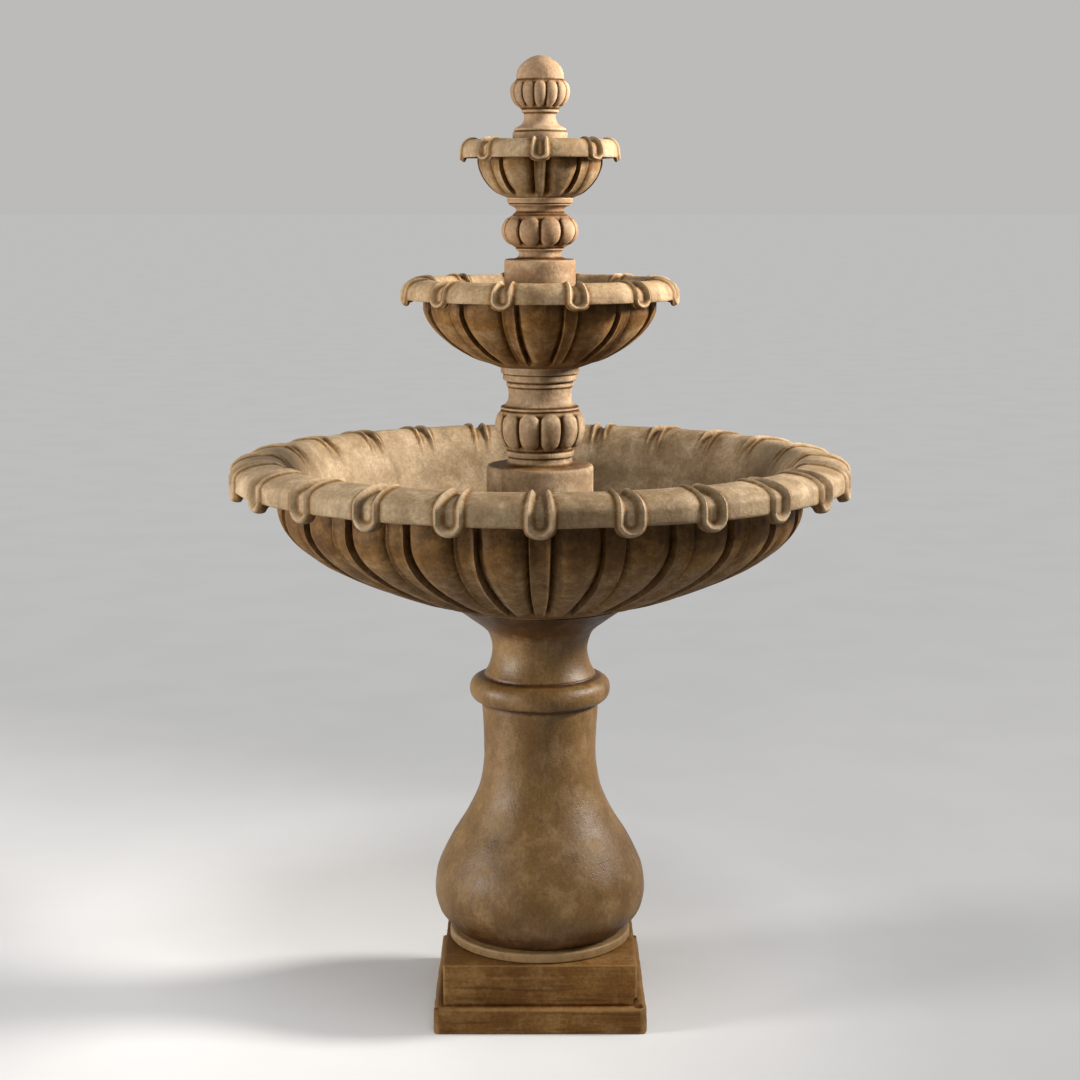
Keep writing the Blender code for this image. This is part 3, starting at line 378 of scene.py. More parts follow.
def cast_in_the_round(name, section, pitches, columns, relief, first=FRONT):
    """A closed ring section, with one pitch's relief on it, spun round the fountain's axis."""
    clear_selection()
    rows = len(section)
    bpy.ops.mesh.primitive_grid_add(x_subdivisions=columns, y_subdivisions=rows, size=2)
    piece = bpy.context.object
    piece.name = name
    piece.data.name = name
    # Each vertex's darkness: a wash in the creases, partly patina, plus painted shade, shadow and
    # highlight.
    wash_and_painted_light = piece.data.attributes.new("wash_and_painted_light", "FLOAT", "POINT")
    wash_and_painted_light_values = []
    for vertex in piece.data.vertices:
        row = round((vertex.co.y + 1) / 2 * rows) % rows
        stretch, share, radius, height = section[row]
        before = section[row - 1]
        after = section[(row + 1) % rows]
        along = math.hypot(after[2] - before[2], after[3] - before[3])
        out_r = (after[3] - before[3]) / along
        out_z = (before[2] - after[2]) / along
        away, rise, fall, dark = relief(stretch, share, radius, height, vertex.co.x)
        angle = first + away
        radius += rise * out_r
        vertex.co = (radius * math.cos(angle), radius * math.sin(angle),
                     height + rise * out_z - fall)
        wash_and_painted_light_values.append(dark)
    wash_and_painted_light.data.foreach_set("value", wash_and_painted_light_values)
    bpy.ops.object.mode_set(mode="EDIT")
    bpy.ops.mesh.select_all(action="SELECT")
    bpy.ops.mesh.spin(steps=pitches - 1, dupli=True, angle=2 * math.pi * (pitches - 1) / pitches,
                      center=(0, 0, 0), axis=(0, 0, 1))
    bpy.ops.mesh.select_all(action="SELECT")
    bpy.ops.mesh.remove_doubles(threshold=0.00004)
    bpy.ops.mesh.normals_make_consistent(inside=False)
    bpy.ops.object.mode_set(mode="OBJECT")
    piece.data.update()
    bpy.ops.object.shade_smooth_by_angle(angle=math.radians(50))
    return piece


# Fine lines in creases (partly patina, partly painted shade) and the broad painted shadow band
# under a bowl take the line strength; soft bands of painted shade take the weaker one.
LINE_AND_SHADOW_STRENGTH = 0.85
PAINTED_SHADE_STRENGTH = 0.65
FINE_LINE = 0.02
BROAD_BAND = 0.05
FOOT_PAINTED_HIGHLIGHT = -0.40


def plain_turning(pitches, dark_lines):
    """The relief of a plain turned piece: only darkness in lines at given heights, partly a wash
    in the creases and partly painted shade and shadow, with a painted highlight on the foot.
    """
    def relief(stretch, share, radius, height, column):
        dark = 0.0
        if stretch != "inner":
            for level, width in dark_lines:
                soft = FINE_LINE <= width <= BROAD_BAND
                strength = PAINTED_SHADE_STRENGTH if soft else LINE_AND_SHADOW_STRENGTH
                dark = max(dark, strength * math.exp(-((height - level) / width) ** 2))
        # The foot ring gets a painted highlight.
        if stretch == "foot":
            dark = FOOT_PAINTED_HIGHLIGHT
        return column * math.pi / pitches, 0.0, 0.0, dark
    return relief


pedestal_low, pedestal_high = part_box("pedestal")
bed = pedestal_low.z
rise_to_bowl = pedestal_high.z - bed
foot_ring = flow([(0.1690, 0.0), (0.1738, 0.002), (0.1742, 0.006), (0.1742, 0.013),
                  (0.1732, 0.0175), (0.1690, 0.0190), (0.1610, 0.0195), (0.1588, 0.0205)], 0.0018)
bulb = flow([(0.1588, 0.0205), (0.1620, 0.0235), (0.1905, 0.053), (0.2012, 0.085),
             (0.2012, 0.115), (0.1941, 0.148), (0.1695, 0.1985), (0.1402, 0.2467),
             (0.1177, 0.2946), (0.1088, 0.340), (0.1070, 0.385), (0.1090, 0.430),
             (0.1108, 0.455), (0.1105, 0.4635)], 0.005)
collar = flow([(0.1105, 0.4635), (0.1108, 0.4660), (0.1135, 0.4685), (0.1240, 0.4712),
               (0.1312, 0.4790), (0.1338, 0.4895), (0.1325, 0.5000), (0.1272, 0.5090),
               (0.1190, 0.5142), (0.1100, 0.5165), (0.1068, 0.5172), (0.1060, 0.5186),
               (0.1054, 0.5215)], 0.0022)
head = flow([(0.1054, 0.5215), (0.1008, 0.5290), (0.0950, 0.5430), (0.0908, 0.5620),
             (0.0915, 0.5790), (0.0985, 0.6010), (0.1100, 0.6135), (0.1256, 0.6250),
             (0.1427, 0.6375), (0.1610, 0.6500), (0.1700, rise_to_bowl - 0.0015),
             (0.1690, rise_to_bowl)], 0.0035)
hollow = straight([(0.1690, rise_to_bowl), (PEDESTAL_BORE, rise_to_bowl),
                   (PEDESTAL_BORE, 0.361), (0.1820 - PEDESTAL_WALL, 0.178),
                   (0.2020 - PEDESTAL_WALL, 0.101), (0.1745 - PEDESTAL_WALL, 0.0),
                   (0.1690, 0.0)], 0.05)
# Dark lines: a wash in the creases, partly patina and partly painted shade; a soft band of painted
# shade low on the bulb, and the large bowl's painted shadow at the neck's top.
pedestal = cast_in_the_round(
    "pedestal_casting",
    as_section(bed, foot=foot_ring, bulb=bulb, collar=collar, head=head, inner=hollow[:-1]), 24, 9,
    plain_turning(24, ((bed + 0.0205, 0.0032), (bed + 0.0200, 0.0450), (bed + 0.4668, 0.0050),
                       (bed + 0.5178, 0.0026), (bed + rise_to_bowl, 0.052),
                       (bed + rise_to_bowl, 0.018))))
hand_cast(pedestal, 0.055, 0.0018)
set_finish(pedestal, cast_stone("pedestal_cast_stone", (0.152, 0.083, 0.023, 1),
                                (0.090, 0.043, 0.008, 1), (0.330, 0.215, 0.105, 1), gloss=0.16,
                                wear_and_highlight=0.20, mottle=0.26))
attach(pedestal, "base")
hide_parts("pedestal")

# ---- Large bowl -----------------------------------------------------------------------
# The lowest and widest bowl, a heavy casting with a rim rolled out into a drooping lip.
# Twenty-four tongue-shaped spouts hang over it, each with two beaded borders that run
# in over the crest, and a rib runs down the body below each. It is bedded on the pedestal.


def bezier(start, pull, push, end, steps):
    """A cubic curve as steps + 1 points."""
    rows = []
    for number in range(steps + 1):
        t = number / steps
        u = 1 - t
        rows.append(tuple(u ** 3 * start[k] + 3 * u * u * t * pull[k] + 3 * u * t * t * push[k]
                          + t ** 3 * end[k] for k in (0, 1)))
    return rows


def bowl_section(base, size):
    """The ring section of a bowl, from its foot out under the lip, over it and back inside."""
    rim = size["rim"]
    crest = size["crest"]
    waist = size["waist"]
    foot = size["foot"]
    top = size["height"]
    lip = top - size["lip_depth"]
    span = waist - foot
    rise = size["waist_height"]
    thin = size["edge"]
    tuck_end = (waist + size["tuck"], lip + size["hook"])
    edge_start = (rim - thin, lip + 0.0006)
    wall_top = (size["inside"], rise + 0.008)
    crown_start = (rim - 0.0006, top - size["lip_depth"] * size["roll"])
    return as_section(
        base,
        base=straight([(size["hole"], 0.0), (foot, 0.0)], 0.03),
        under=bezier((foot, 0.0), (foot + size["belly"] * span, size["belly_rise"] * rise),
                     (waist - size["lean"], 0.605 * rise), (waist, rise), size["rows"]),
        tuck=bezier((waist, rise), (waist, lip + size["hook"] * 0.2),
                    (waist + size["tuck"] * 0.15, lip + size["hook"]), tuck_end, 8),
        soffit=bezier(tuck_end, (tuck_end[0] + 0.35 * (edge_start[0] - tuck_end[0]),
                                 tuck_end[1]),
                      (edge_start[0] - size["hang"], edge_start[1] + size["hang"]),
                      edge_start, 7),
        edge=bezier(edge_start, (edge_start[0] + thin * 0.4, lip - 0.0004),
                    (rim - 0.0006, lip - 0.0004), (rim - 0.0004, lip + thin * 0.45), 6),
        face=bezier((rim - 0.0004, lip + thin * 0.45), (rim, lip + thin * 0.8), (rim, lip + thin),
                    crown_start, 13),
        crown=bezier(crown_start, (rim - 0.0006, top - size["lip_depth"] * size["roll"] * 0.42),
                     (crest + size["shoulder"] * 0.60, top), (crest, top), 16),
        inside=bezier((crest, top), (crest - size["roll_in"], top),
                      (wall_top[0] + size["roll_in"] * 0.08,
                       wall_top[1] + 0.4 * (top - wall_top[1])),
                      wall_top, 16)[:-1]
        + bezier(wall_top, (wall_top[0], 0.62 * rise + 0.35 * size["floor"]),
                 (size["floor_radius"] + 0.55 * (wall_top[0] - size["floor_radius"]),
                  size["floor"] + 0.10 * rise), (size["floor_radius"], size["floor"]), 22),
        floor=straight([(size["floor_radius"], size["floor"]), (size["hole"], size["floor"])],
                       0.04),
        bore=straight([(size["hole"], size["floor"]), (size["hole"], 0.0)], 0.02)[:-1])


def placed(steps, stops):
    """The place across a pitch of one column, from a few columns' known places."""
    for (index, place), (next_index, next_place) in zip(stops, stops[1:]):
        if steps <= next_index:
            return place + (next_place - place) * (steps - index) / (next_index - index)
    return stops[-1][1]


HALF_COLUMNS = 14


def bowl_relief(base, size):
    """Ribs and flutes under a bowl, and the tongue with its beaded border over the lip."""
    half_pitch = math.pi / size["spouts"]
    lip = base + size["height"] - size["lip_depth"]
    turn = lip + size["turn"]

    def rib_and_flute(across, half, radius, rib, groove, ease):
        show = smooth(size["fade_from"], size["fade_to"], radius)
        if across <= rib:
            flat = smooth(rib - 0.0045, rib - 0.001, across)
            rise = size["rib_proud"] - size["rib_sunk"] * (1 - flat)
        elif across <= rib + groove:
            fallen = (across - rib) / groove
            rise = size["rib_proud"] - (size["rib_proud"] + size["flute"]) * fallen
        else:
            beyond = min((across - rib - groove) / ease, 1.0)
            rise = -size["flute"] * (1 - beyond) ** 2
            inward = (half - across) / (half - rib)
            rise += size["pillow"] * (1 - inward * inward)
        # The flute beside each rib darkens, partly patina and partly painted shade.
        away = across - rib - groove
        line = math.exp(-(away / 0.0034) ** 2) if away < 0 else math.exp(-(away / 0.0095) ** 2)
        return rise * show, 0.85 * line * show

    def tongue(across, height, middle, bead, stand, trough):
        reach = across
        if height < turn:
            hang = (turn - height) / (size["turn"] + size["tongue_drop"] - bead)
            reach = middle * math.hypot(across / middle, hang)
        off = abs(reach - middle) / bead
        ridge = stand * math.cos(off * math.pi / 2) ** 1.5 if off < 1 else 0.0
        sunk = trough * smooth(middle, middle - 1.6 * bead, reach)
        # Dark lines round the beads: partly patina, partly painted shade.
        line = 0.55 * math.exp(-((reach - middle - bead) / 0.0032) ** 2)
        inner = 0.50 * math.exp(-((reach - middle + 1.3 * bead) / 0.0040) ** 2)
        return ridge - sunk, max(line, inner)

    def relief(stretch, share, radius, height, column):
        steps = abs(column) * HALF_COLUMNS
        half = half_pitch * radius
        if stretch in ("base", "floor", "bore"):
            # The bowl's floor is painted a little darker.
            return column * half_pitch, 0.0, 0.0, 0.16 if stretch == "floor" else 0.0
        down = share if stretch == "under" else 1.0
        rib = size["rib_foot"] + (size["rib_top"] - size["rib_foot"]) * down
        groove = size["groove"]
        ease = size["ease"]
        squeeze = min(1.0, 0.8 * half / (rib + groove + ease))
        rib, groove, ease = rib * squeeze, groove * squeeze, ease * squeeze
        ribbed = ((0, 0), (3, rib - 0.004), (4, rib - 0.002), (5, rib), (6, rib + groove),
                  (7, rib + groove + 0.25 * ease), (8, rib + groove + 0.5 * ease),
                  (9, rib + groove + ease), (14, half))
        inward = {"crown": share ** 1.3, "inside": 1.0}.get(stretch, 0.0)
        middle = size["middle_face"] + (size["middle_crest"] - size["middle_face"]) * inward
        bead = size["bead_face"] + (size["bead_crest"] - size["bead_face"]) * inward
        stand = size["stand_face"] + (size["stand_crest"] - size["stand_face"]) * inward
        trough = size["trough"]
        tongued = ((0, 0), (3, middle - bead), (4, middle - bead / 2), (5, middle),
                   (6, middle + bead / 2), (7, middle + bead), (8, middle + bead + 0.0025),
                   (9, middle + bead + 0.009), (14, half))
        lean = {"under": 0.0, "tuck": 0.5 * share, "soffit": 0.5 + 0.5 * share}.get(stretch, 1.0)
        across = (1 - lean) * placed(steps, ribbed) + lean * placed(steps, tongued)
        even = half * steps / HALF_COLUMNS
        rise = fall = dark = 0.0
        if stretch in ("under", "tuck", "soffit"):
            blend = 1 - smooth(size["fade_from"] * 0.8, size["fade_to"], radius)
            across = across * (1 - blend) + even * blend
            rise, dark = rib_and_flute(across, half, radius, rib, groove, ease)
            rise *= 1 - lean
            dark *= 1 - lean
            # Painted shadow under the lip in the tuck and soffit; on the underside, painted shade,
            # darker under the lip and near the foot.
            if stretch != "under":
                dark = max(dark, 0.70)
            else:
                ends = 0.25 * smooth(0.70, 1.0, share) + 0.25 * smooth(0.14, 0.0, share)
                shade = size["shade_and_wash"] + ends
                dark = max(dark, shade)
        shape = math.sqrt(max(0.0, 1 - (across / (middle + bead)) ** 2))
        hangs = {"soffit": share * share, "edge": 1.0, "face": 1 - share}.get(stretch, 0.0)
        fall = size["tongue_drop"] * shape * hangs
        if stretch in ("edge", "face", "crown"):
            show = smooth(0.0, 0.5, share) if stretch == "edge" else 1.0
            rise, dark = tongue(across, height - fall, middle, bead, stand, trough)
            rise *= show
            # Painted shadow along the lip's lower edge.
            if stretch == "edge":
                dark = max(dark, 0.8 * (1 - share))
            dip = smooth(0.35, 1.0, share) if stretch == "crown" else 0.0
            fall += size["dip"] * dip * smooth(middle, 0.0, across)
        if stretch == "inside":
            fade = 1 - smooth(0.02, size["run_in"], share)
            across = across * fade + (1 - fade) * even
            rise, dark = tongue(across, turn + 1, middle, bead * (0.5 + 0.5 * fade),
                                stand, trough * 0.8)
            rise *= fade
            # The inside ridges' dark lines are strengthened as their painted shadow, partly
            # patina.
            dark = min(1.0, 1.5 * dark) * fade
            fall = size["dip"] * fade * fade * smooth(middle, 0.0, across)
            # The inside wall is painted darker further down.
            dark = max(dark, 0.24 * smooth(0.35, 0.75, share))
        return math.copysign(across / radius, column), rise, fall, dark

    return relief


bowl_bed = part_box("lower_bowl")[0].z
LARGE_BOWL = dict(
    rim=0.5765, crest=0.5080, waist=0.4870, foot=0.1700, height=0.2822, lip_depth=0.0512,
    waist_height=0.190, hole=0.022, edge=0.013, tuck=0.012, hook=0.014, hang=0.004,
    shoulder=0.0670, roll=0.52, lean=0.0, roll_in=0.030, inside=0.447, floor=0.0497,
    floor_radius=0.190, belly=0.543, belly_rise=0.29, rows=44, spouts=24,
    rib_foot=0.0110, rib_top=0.0172, rib_proud=0.0050, rib_sunk=0.0026, groove=0.0034,
    flute=0.0120, ease=0.023, pillow=0.0055, fade_from=0.195, fade_to=0.250,
    turn=0.008, tongue_drop=0.0185, middle_face=0.0198, middle_crest=0.0130,
    bead_face=0.0076, bead_crest=0.0062, stand_face=0.0056, stand_crest=0.0046,
    trough=0.0046, dip=0.0028, run_in=0.36, shade_and_wash=0.40)
large_bowl = cast_in_the_round("large_bowl_casting", bowl_section(bowl_bed, LARGE_BOWL),
                               LARGE_BOWL["spouts"], 2 * HALF_COLUMNS,
                               bowl_relief(bowl_bed, LARGE_BOWL))
hand_cast(large_bowl, 0.050, 0.0020)
set_finish(large_bowl, cast_stone("large_bowl_cast_stone", (0.250, 0.180, 0.104, 1),
                                  (0.158, 0.103, 0.052, 1), (0.410, 0.318, 0.212, 1), wear_and_highlight=0.12))
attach(large_bowl, "base")
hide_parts("lower_bowl")

# ---- Pump, drain and water line -------------------------------------------------------
# The small moulded-plastic pump stands on rubber suction feet on the large bowl's floor,
# under the drum. A vinyl tube is clamped on its nipple and runs up the column to a copper
# pipe pushed into its end; rubber stoppers close the bowls' holes round the tube.


def moulded_plastic(name, colour, roughness, scuff=0.5):
    """Injection-moulded plastic: a fine spark texture, handling scuffs and lime bloom."""
    plastic = Finish(name)
    bloom = plastic.span(plastic.noise(45, 6, 0.65), 0.52, 0.78, 0.0, 0.30 * scuff)
    lighter = tuple(min(1.0, part * 1.6 + 0.03) for part in colour) + (1,)
    shade = plastic.mix(plastic.noise(160, 4), colour + (1,), lighter)
    shade = plastic.mix(bloom, shade, (0.42, 0.40, 0.36, 1))
    plastic.feed(plastic.shader.inputs["Base Color"], shade)
    plastic.feed(plastic.shader.inputs["Roughness"],
                 plastic.span(plastic.noise(90, 5), 0.3, 0.7, roughness, roughness + 0.18))
    relief = plastic.bump(plastic.noise(1400, 2), 0.00012, 0.5)
    plastic.feed(plastic.shader.inputs["Normal"],
                 plastic.bump(plastic.noise(60, 3), 0.0004, 0.2, relief))
    return plastic.material


def pressed_rubber(name):
    """Black moulded rubber with a chalky film and fine flow marks."""
    rubber = Finish(name)
    film = rubber.span(rubber.noise(70, 6, 0.7), 0.45, 0.75, 0.0, 0.35)
    rubber.feed(rubber.shader.inputs["Base Color"],
                rubber.mix(film, (0.018, 0.018, 0.018, 1), (0.13, 0.125, 0.115, 1)))
    rubber.feed(rubber.shader.inputs["Roughness"], rubber.span(film, 0.0, 0.35, 0.62, 0.85))
    rings = rubber.noise(900, 3, 0.6)
    rubber.feed(rubber.shader.inputs["Normal"], rubber.bump(rings, 0.0002, 0.4))
    return rubber.material


def bare_metal(name, bright, tarnish, roughness):
    """Bare metal with drawing marks and a thin tarnish in patches."""
    metal = Finish(name)
    patches = metal.span(metal.noise(55, 6, 0.65), 0.46, 0.72, 0.0, 0.8)
    metal.feed(metal.shader.inputs["Base Color"], metal.mix(patches, bright, tarnish))
    metal.shader.inputs["Metallic"].default_value = 1.0
    drawn = metal.noise(220, 3, 0.5, metal.stretched(1.0, 1.0, 0.08))
    metal.feed(metal.shader.inputs["Roughness"],
               metal.span(patches, 0.0, 0.8, roughness, roughness + 0.25))
    metal.feed(metal.shader.inputs["Normal"], metal.bump(drawn, 0.0002, 0.35))
    return metal.material


def clear_hose(name):
    """Soft clear vinyl, slightly milky, with a faint lime line inside."""
    vinyl = Finish(name)
    milky = vinyl.span(vinyl.noise(30, 5), 0.35, 0.7)
    vinyl.feed(vinyl.shader.inputs["Base Color"],
               vinyl.mix(milky, (0.82, 0.86, 0.86, 1), (0.66, 0.68, 0.62, 1)))
    vinyl.shader.inputs["Transmission Weight"].default_value = 0.6
    vinyl.shader.inputs["IOR"].default_value = 1.52
    vinyl.feed(vinyl.shader.inputs["Roughness"], vinyl.span(milky, 0.0, 1.0, 0.12, 0.34))
    vinyl.feed(vinyl.shader.inputs["Normal"], vinyl.bump(vinyl.noise(220, 3), 0.0003, 0.25))
    return vinyl.material


def fired_ceramic(name):
    """The polished white alumina of the rotor's shaft."""
    ceramic = Finish(name)
    ceramic.feed(ceramic.shader.inputs["Base Color"],
                 ceramic.mix(ceramic.noise(400, 3), (0.86, 0.85, 0.80, 1), (0.74, 0.72, 0.66, 1)))
    ceramic.feed(ceramic.shader.inputs["Roughness"],
                 ceramic.span(ceramic.noise(300, 3), 0.3, 0.7, 0.14, 0.30))
    return ceramic.material


PUMP_BLACK = (0.018, 0.021, 0.025)
pump_finishes = {
    "pump_body": moulded_plastic("pump_body_plastic", PUMP_BLACK, 0.38),
    "pump_volute": moulded_plastic("pump_volute_plastic", PUMP_BLACK, 0.34),
    "intake_cover": moulded_plastic("intake_cover_plastic", PUMP_BLACK, 0.34, 0.8),
    "flow_dial": moulded_plastic("flow_dial_plastic", (0.17, 0.18, 0.19), 0.38),
    "impeller": moulded_plastic("impeller_plastic", (0.52, 0.50, 0.44), 0.36, 0.3),
    "hose_nipple": moulded_plastic("hose_nipple_plastic", (0.03, 0.03, 0.034), 0.36),
    "rotor_magnet": moulded_plastic("ferrite", (0.030, 0.029, 0.031), 0.50, 0.2),
    "rotor_shaft": fired_ceramic("white_ceramic"),
    "hose_clamp": bare_metal("clamp_band_steel", (0.62, 0.62, 0.61, 1), (0.35, 0.31, 0.26, 1),
                             0.24),
    "clamp_screw": bare_metal("clamp_screw_steel", (0.58, 0.58, 0.57, 1), (0.32, 0.28, 0.23, 1),
                              0.30),
}
for rubber_part in ("drain_stopper", "middle_bowl_stopper", "top_bowl_stopper", "volute_seal",
                    "front_bushing", "rear_bushing", "cord_gland", "suction_foot_front_left",
                    "suction_foot_front_right", "suction_foot_back_left",
                    "suction_foot_back_right"):
    pump_finishes[rubber_part] = pressed_rubber(rubber_part + "_rubber")
for part_name, part_finish in pump_finishes.items():
    set_finish(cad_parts[part_name], part_finish)

TUBE_WALL = 0.0016
PIPE_WALL = 0.0010


def drawn_tube(name, node, wall):
    """A round tube on the fountain's axis, as wide and as long as its solid."""
    low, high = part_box(node)
    length = high.z - low.z
    inside = high.x - wall
    rounded = 0.25 * wall
    ends = straight([(inside, 0.0), (high.x - rounded, 0.0), (high.x, rounded),
                     (high.x, length - rounded), (high.x - rounded, length), (inside, length),
                     (inside, 0.0)], 0.06)[:-1]
    tube = cast_in_the_round(name, as_section(low.z, wall=ends), 24, 2, plain_turning(24, ()))
    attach(tube, "base")
    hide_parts(node)
    return tube


vinyl_tube = drawn_tube("supply_tube_vinyl", "supply_tube", TUBE_WALL)
set_finish(vinyl_tube, clear_hose("clear_vinyl"))
copper_pipe = drawn_tube("outlet_pipe_copper", "outlet_pipe", PIPE_WALL)
set_finish(copper_pipe, bare_metal("copper_pipe", (0.74, 0.34, 0.20, 1), (0.16, 0.20, 0.14, 1),
                                   0.28))

# ---- Lower baluster -------------------------------------------------------------------
# The riser that stands in the large bowl and lifts off it. Its drum hides the pump and
# has four water inlets at its foot; above it are a neck, a gadrooned bulb of twelve
# lobes and a stepped collar, all one casting with a bore for the water tube.

TUBE_BORE = 0.012


def gadrooned(pitches, low, high, depth, dark_lines):
    """Round lobes with sharp grooves between, one to a pitch, between two heights."""
    def relief(stretch, share, radius, height, column):
        away, rise, fall, dark = plain_turning(pitches, dark_lines)(stretch, share, radius,
                                                                    height, column)
        if stretch == "bulb" and low < height < high:
            along = (height - low) / (high - low) * 2 - 1
            spent = min(1.0, column * column + abs(along) ** 7)
            ends = 1 - smooth(0.84, 1.0, abs(along))
            rise = -depth * (1 - math.sqrt(1 - spent)) * ends
            # The grooves between the lobes darken, partly patina and partly painted shade.
            dark = max(dark, 0.9 * smooth(0.62, 1.0, spent) * ends)
        return away, rise, fall, dark
    return relief


lower_low, lower_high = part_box("lower_baluster")
seat = lower_low.z
DRUM_TOP = 0.213
DRUM_RADIUS = lower_high.x - 0.0008
CHAMBER_RADIUS = lower_high.x - 0.0223
CHAMBER_ROOF = 0.183
LOWER_HEIGHT = lower_high.z - seat
DUSTY_PALE = (0.460, 0.350, 0.225, 1)
INLET_WIDTH = 0.034
INLET_HEIGHT = 0.022
drum = straight([(DRUM_RADIUS - 0.002, 0.0), (DRUM_RADIUS, 0.002), (DRUM_RADIUS, 0.2075)],
                0.008) + flow([(DRUM_RADIUS, 0.2075), (DRUM_RADIUS - 0.0018, 0.2112),
                               (0.0945, DRUM_TOP), (0.0780, DRUM_TOP + 0.0006),
                               (0.0660, 0.2150), (0.0615, 0.2185), (0.0600, 0.2240),
                               (0.0606, 0.2290), (0.0632, 0.2312), (0.0640, 0.2350),
                               (0.0636, 0.2390), (0.0612, 0.2412), (0.0606, 0.2424)], 0.002)
bulb = flow([(0.0606, 0.2424), (0.0650, 0.2438), (0.0745, 0.2510), (0.0830, 0.2670),
             (0.0860, 0.2850), (0.0838, 0.3030), (0.0780, 0.3135), (0.0712, 0.3170)], 0.0022)
shaft = flow([(0.0712, 0.3170), (0.0728, 0.3180), (0.0740, 0.3205), (0.0722, 0.3232),
              (0.0650, 0.3270), (0.0602, 0.3345), (0.0589, 0.3445), (0.0592, 0.3530),
              (0.0606, 0.3595), (0.0628, 0.3622), (0.0628, 0.3665), (0.0616, 0.3688),
              (0.0640, 0.3705), (0.0690, 0.3735), (0.0695, 0.3790), (0.0690, 0.3838),
              (0.0728, 0.3860), (0.0733, 0.3900), (0.0733, LOWER_HEIGHT)], 0.002)
chamber = straight([(0.0733, LOWER_HEIGHT), (TUBE_BORE, LOWER_HEIGHT), (TUBE_BORE, CHAMBER_ROOF),
                    (CHAMBER_RADIUS, CHAMBER_ROOF), (CHAMBER_RADIUS, 0.0),
                    (DRUM_RADIUS - 0.002, 0.0)], 0.03)
# Dark lines in the creases: partly patina, partly painted shade.
lower_baluster = cast_in_the_round(
    "lower_baluster_casting",
    as_section(seat, drum=drum, bulb=bulb, shaft=shaft, inner=chamber[:-1]), 12, 16,
    gadrooned(12, seat + 0.2424, seat + 0.3170, 0.0085,
              ((seat + 0.2160, 0.0030), (seat + 0.2290, 0.0016), (seat + 0.2420, 0.0020),
               (seat + 0.3172, 0.0018), (seat + 0.3240, 0.0018), (seat + 0.3600, 0.0016),
               (seat + 0.3692, 0.0018), (seat + 0.3845, 0.0014))), FRONT + math.pi / 12)
hand_cast(lower_baluster, 0.045, 0.0011)
for across, along in ((INLET_WIDTH, 3 * DRUM_RADIUS), (3 * DRUM_RADIUS, INLET_WIDTH)):
    clear_selection()
    bpy.ops.mesh.primitive_cube_add(size=1, location=(0, 0, seat),
                                    scale=(across, along, 2 * INLET_HEIGHT))
    cut_away(lower_baluster, bpy.context.object)
set_finish(lower_baluster, cast_stone("lower_baluster_cast_stone", (0.215, 0.143, 0.081, 1),
                                      (0.135, 0.083, 0.043, 1), DUSTY_PALE, wear_and_highlight=0.30))
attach(lower_baluster, "lower_baluster")
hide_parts("lower_baluster")

# ---- Middle bowl ----------------------------------------------------------------------
# The second bowl, of the same casting with twelve spouts. Its lip is thinner and hooks
# down further. It sits on the lower baluster's collar and lifts off; a rubber stopper
# seals the hole round the water tube.

middle_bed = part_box("middle_bowl")[0].z
UPPER_TAN = (0.285, 0.196, 0.108, 1)
UPPER_BROWN = (0.180, 0.112, 0.052, 1)
MIDDLE_BOWL = dict(
    rim=0.2572, crest=0.2210, waist=0.2130, foot=0.0800, height=0.1623, lip_depth=0.0363,
    waist_height=0.104, hole=0.0165, edge=0.0060, tuck=0.010, hook=0.0165, hang=0.0050,
    shoulder=0.0350, roll=0.74, lean=0.012, roll_in=0.016, inside=0.189, floor=0.0317,
    floor_radius=0.090, belly=0.530, belly_rise=0.25, rows=34, spouts=12,
    rib_foot=0.0070, rib_top=0.0115, rib_proud=0.0030, rib_sunk=0.0014, groove=0.0024,
    flute=0.0070, ease=0.018, pillow=0.0036, fade_from=0.095, fade_to=0.125,
    turn=0.007, tongue_drop=0.0115, middle_face=0.0155, middle_crest=0.0110,
    bead_face=0.0062, bead_crest=0.0054, stand_face=0.0046, stand_crest=0.0038,
    trough=0.0038, dip=0.0025, run_in=0.38, shade_and_wash=0.36)
middle_bowl = cast_in_the_round("middle_bowl_casting", bowl_section(middle_bed, MIDDLE_BOWL),
                                MIDDLE_BOWL["spouts"], 2 * HALF_COLUMNS,
                                bowl_relief(middle_bed, MIDDLE_BOWL),
                                FRONT + math.pi / MIDDLE_BOWL["spouts"])
hand_cast(middle_bowl, 0.036, 0.0019)
set_finish(middle_bowl, cast_stone("middle_bowl_cast_stone", UPPER_TAN, UPPER_BROWN, DUSTY_PALE,
                                   wear_and_highlight=0.20))
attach(middle_bowl, "middle_bowl")
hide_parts("middle_bowl")

# ---- Upper baluster -------------------------------------------------------------------
# The second riser, between the middle and the top bowl: a plain drum, a short neck, a
# bulb of ten lobes and a flared collar. One casting, bored for the tube; it lifts off.

